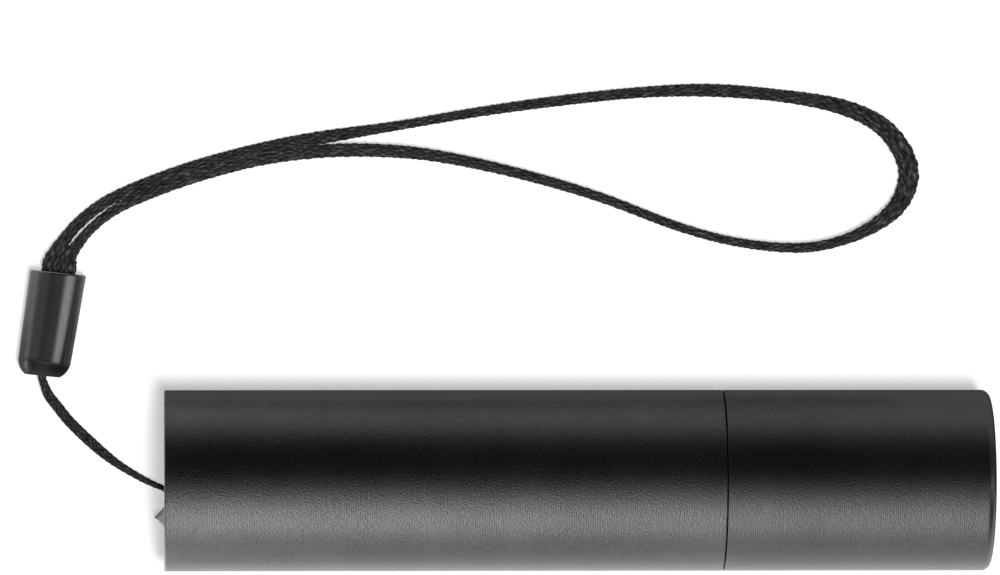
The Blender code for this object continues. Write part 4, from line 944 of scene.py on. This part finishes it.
def make_neck(looks):
    """The neck tube with its grooves and the rounded port window."""
    port_low, port_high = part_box("usb_c_shell")
    ring_low, ring_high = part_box("neck_o_ring_rear")
    second_low, second_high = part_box("neck_o_ring_front")
    flange = BARREL_RADIUS - HEAD_WALL - 0.4 * MM
    groove = flange - 1.0 * MM
    bore = NECK_RADIUS - 1.0 * MM
    flange_x = (ring_low.x + ring_high.x) / 2 - 2.2 * MM
    groove_half = 0.8 * MM
    ledge_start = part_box("driver_board")[1].x + 0.1 * MM
    ledge_end = ledge_start + 1.0 * MM
    ledge = bore - 1.1 * MM
    outline = [(NECK_LOW.x, bore), (NECK_LOW.x, NECK_RADIUS)]
    outline += [(flange_x, NECK_RADIUS), (flange_x, flange - FINE_BREAK), (flange_x + FINE_BREAK, flange)]
    for low, high in ((ring_low.x, ring_high.x), (second_low.x, second_high.x)):
        middle = (low + high) / 2
        start = middle - groove_half
        end = middle + groove_half
        outline += [(start, flange), (start, groove), (end, groove), (end, flange)]
    outline += [(NECK_HIGH.x - FINE_BREAK, flange), (NECK_HIGH.x, flange - FINE_BREAK)]
    outline += [(NECK_HIGH.x, bore), (ledge_end, bore), (ledge_end, ledge)]
    outline += [(ledge_start, ledge), (ledge_start, bore)]
    neck = lathe("neck_shell", outline, PART_SEGMENTS * 2)
    cut_away(neck, window_cutter(port_low, port_high))
    neck.data.set_sharp_from_angle(angle=SMOOTH_ANGLE)
    dress(neck, looks["neck"], "barrel", "neck", "neck_tube")


def window_cutter(low, high):
    """A prism with fully rounded ends over the charging port."""
    middle = (low + high) / 2
    radius = (high.x - low.x) / 2 + FIT
    half = (high.y - low.y) / 2 + FIT - radius
    steps = 32
    bm = bmesh.new()
    corners = []
    for step in range(steps + 1):
        angle = math.pi * step / steps
        corners.append((middle.x + radius * math.cos(angle), half + radius * math.sin(angle)))
    corners += [(middle.x - (x - middle.x), -y) for x, y in corners]
    verts = [bm.verts.new((x, y, AXIS_Z)) for x, y in corners]
    made = bmesh.ops.extrude_face_region(bm, geom=[bm.faces.new(verts)])["geom"]
    moved = [item for item in made if isinstance(item, bmesh.types.BMVert)]
    bmesh.ops.translate(bm, verts=moved, vec=(0.0, 0.0, 2 * BARREL_RADIUS))
    return finish_mesh(bm, "window_cutter")


def dress_frame(looks):
    """Materials of the CAD nodes that stay, by the record's slots."""
    slots = {entry["node"]: entry["material_slot"] for entry in frame["record"]["subparts"]}
    for name, node in frame["nodes"].items():
        node.data.materials.clear()
        node.data.materials.append(looks[slots[name]])
        node.data.shade_smooth()
        node.data.set_sharp_from_angle(angle=FRAME_SMOOTH_ANGLE)


def make_floor():
    """A pale floor that keeps the shadow."""
    bm = bmesh.new()
    bmesh.ops.create_grid(bm, x_segments=1, y_segments=1, size=FLOOR_REACH)
    mesh = bpy.data.meshes.new("floor")
    bm.to_mesh(mesh)
    bm.free()
    floor = add_object("floor", mesh)
    floor.location = (0.0, 0.0, FLOOR_Z)
    mesh.materials.append(floor_white())


def floor_white():
    """White with a soft shadow to the camera, and graded light with painted shadow to the metal."""
    material = bpy.data.materials.new("floor_white")
    material.use_nodes = True
    tree = material.node_tree
    tree.nodes.clear()
    output = tree.nodes.new("ShaderNodeOutputMaterial")
    path = tree.nodes.new("ShaderNodeLightPath")
    diffuse = tree.nodes.new("ShaderNodeBsdfDiffuse")
    diffuse.inputs["Color"].default_value = (*grey(FLOOR_LEVEL), 1.0)
    seen = add_math(tree, "MAXIMUM", path.outputs["Is Camera Ray"], path.outputs["Is Transmission Ray"])
    glow = tree.nodes.new("ShaderNodeEmission")
    tree.links.new(add_math(tree, "MULTIPLY", seen, FLOOR_GLOW), glow.inputs["Strength"])
    pale = tree.nodes.new("ShaderNodeAddShader")
    tree.links.new(diffuse.outputs[0], pale.inputs[0])
    tree.links.new(glow.outputs[0], pale.inputs[1])
    x, y = add_axes(tree, "Object")[:2]
    # Painted shadow in the glow that the metal mirrors: low on the +Y side and past the front end
    far = add_ramp(tree, y, MIRRORED_FLOOR[-1][0] * MM, MIRRORED_FLOOR)
    ahead = add_range(tree, x, *AHEAD_PLACES, 1.0, MIRRORED_AHEAD)
    beside = add_range(tree, add_math(tree, "ABSOLUTE", y), *BESIDE_PLACES)
    behind = add_range(tree, x, *BEHIND_PLACES, MIRRORED_BEHIND, 1.0)
    mirrored = add_math(tree, "MULTIPLY", far, add_math(tree, "MAXIMUM", ahead, beside))
    mirror = tree.nodes.new("ShaderNodeEmission")
    tree.links.new(add_math(tree, "MULTIPLY", mirrored, behind), mirror.inputs["Strength"])
    total = add_mix(tree, path.outputs["Is Glossy Ray"], pale.outputs[0], mirror.outputs[0])
    tree.links.new(total, output.inputs["Surface"])
    return material


def add_axes(tree, kind):
    """The three parts of a texture coordinate."""
    place = tree.nodes.new("ShaderNodeTexCoord")
    split = tree.nodes.new("ShaderNodeSeparateXYZ")
    tree.links.new(place.outputs[kind], split.inputs[0])
    return split.outputs


def add_ramp(tree, value, reach, stops):
    """Levels over a value from -reach to reach; a stop's third number is the level in green."""
    ramp = tree.nodes.new("ShaderNodeValToRGB")
    tree.links.new(add_math(tree, "MULTIPLY_ADD", value, 0.5 / reach, 0.5), ramp.inputs["Fac"])
    elements = ramp.color_ramp.elements
    while len(elements) < len(stops):
        elements.new(0.5)
    for element, stop in zip(elements, stops):
        element.position = (stop[0] / stops[-1][0] + 1.0) / 2
        element.color = (stop[1], stop[-1], stop[1], 1.0)
    return ramp.outputs["Color"]


def add_math(tree, operation, *values):
    """A calculation node's output from sockets or plain numbers."""
    made = tree.nodes.new("ShaderNodeMath")
    made.operation = operation
    for socket, value in zip(made.inputs, values):
        if isinstance(value, (int, float)):
            socket.default_value = value
        else:
            tree.links.new(value, socket)
    return made.outputs[0]


def add_range(tree, value, start, end, low=0.0, high=1.0, easing="SMOOTHSTEP"):
    """Low to high as the value goes from start to end."""
    made = tree.nodes.new("ShaderNodeMapRange")
    made.interpolation_type = easing
    limits = {"From Min": start, "From Max": end, "To Min": low, "To Max": high}
    for socket, limit in limits.items():
        made.inputs[socket].default_value = limit
    tree.links.new(value, made.inputs["Value"])
    return made.outputs["Result"]


def add_blend(tree, value, start, end, low, high):
    """One level and, as the value goes from start to end, the other."""
    mix = tree.nodes.new("ShaderNodeMix")
    mix.data_type = "FLOAT"
    tree.links.new(add_range(tree, value, start, end), mix.inputs[0])
    tree.links.new(low, mix.inputs[2])
    tree.links.new(high, mix.inputs[3])
    return mix.outputs[0]


def add_mix(tree, share, first, second):
    """Two shaders mixed by a share."""
    mix = tree.nodes.new("ShaderNodeMixShader")
    for output, socket in zip((share, first, second), mix.inputs):
        tree.links.new(output, socket)
    return mix.outputs[0]


def make_world():
    """Soft surroundings: a room of soft boxes in the metal, even and dim on the rest."""
    world = bpy.data.worlds.new("studio")
    world.cycles.sampling_method = "NONE"
    bpy.context.scene.world = world
    world.use_nodes = True
    tree = world.node_tree
    tree.nodes.clear()
    output = tree.nodes.new("ShaderNodeOutputWorld")
    path = tree.nodes.new("ShaderNodeLightPath")
    x, y, z = add_axes(tree, "Generated")
    turn = add_math(tree, "ARCTAN2", add_math(tree, "MULTIPLY", y, -1.0), z)
    parts = tree.nodes.new("ShaderNodeSeparateColor")
    tree.links.new(add_ramp(tree, turn, math.pi, ROOM_ACROSS), parts.inputs[0])
    loss = add_math(tree, "MULTIPLY_ADD", add_math(tree, "MULTIPLY", x, parts.outputs[1]), -1.0, 1.0)
    least, most = ROOM_HELD
    held = add_math(tree, "MINIMUM", add_math(tree, "MAXIMUM", loss, least), most)
    side_level = add_math(tree, "MULTIPLY", parts.outputs[0], held)
    along = add_ramp(tree, add_math(tree, "ARCTAN2", x, z), math.pi, ROOM_ALONG)
    front_level = add_math(tree, "MULTIPLY", along, add_ramp(tree, y, 1.0, ROOM_FRONT))
    end_level = add_blend(tree, x, *FRONT_SLOPES, along, front_level)
    slope = add_math(tree, "ABSOLUTE", x)
    room_level = add_blend(tree, slope, *ALONG_SLOPES, side_level, end_level)
    lights = []
    for level in (add_ramp(tree, z, 1.0, ROOM_SOFT), room_level):
        light = tree.nodes.new("ShaderNodeBackground")
        tree.links.new(level, light.inputs["Color"])
        lights.append(light.outputs[0])
    white = tree.nodes.new("ShaderNodeBackground")
    white.inputs["Color"].default_value = (1.0, 1.0, 1.0, 1.0)
    unseen = add_mix(tree, path.outputs["Is Glossy Ray"], *lights)
    total = add_mix(tree, path.outputs["Is Camera Ray"], unseen, white.outputs[0])
    tree.links.new(total, output.inputs["Surface"])


def make_lamp():
    """A wide lamp overhead for cloth, floor and shadow, aimed at the origin."""
    reach_x = LAMP_HEIGHT * math.tan(LAMP_TILT_X)
    reach_y = LAMP_HEIGHT * math.tan(LAMP_TILT_Y)
    data = bpy.data.lights.new("top_lamp", "AREA")
    data.shape = "RECTANGLE"
    data.size = 2 * reach_x
    data.size_y = 2 * reach_y
    data.energy = LAMP_POWER
    lamp = add_object("top_lamp", data)
    lamp.location = (reach_x, -reach_y, LAMP_HEIGHT)
    lamp.rotation_euler = (-lamp.location).to_track_quat("-Z", "Y").to_euler()
    lamp.visible_glossy = False


def main():
    """The flashlight, its floor and its surroundings."""
    bpy.context.scene.view_settings.view_transform = "Standard"
    make_camera()
    looks = make_looks()
    make_cords(looks)
    dress_frame(looks)
    make_barrel(looks)
    make_front(looks)
    make_tail(looks)
    make_neck(looks)
    make_floor()
    make_world()
    make_lamp()


main()
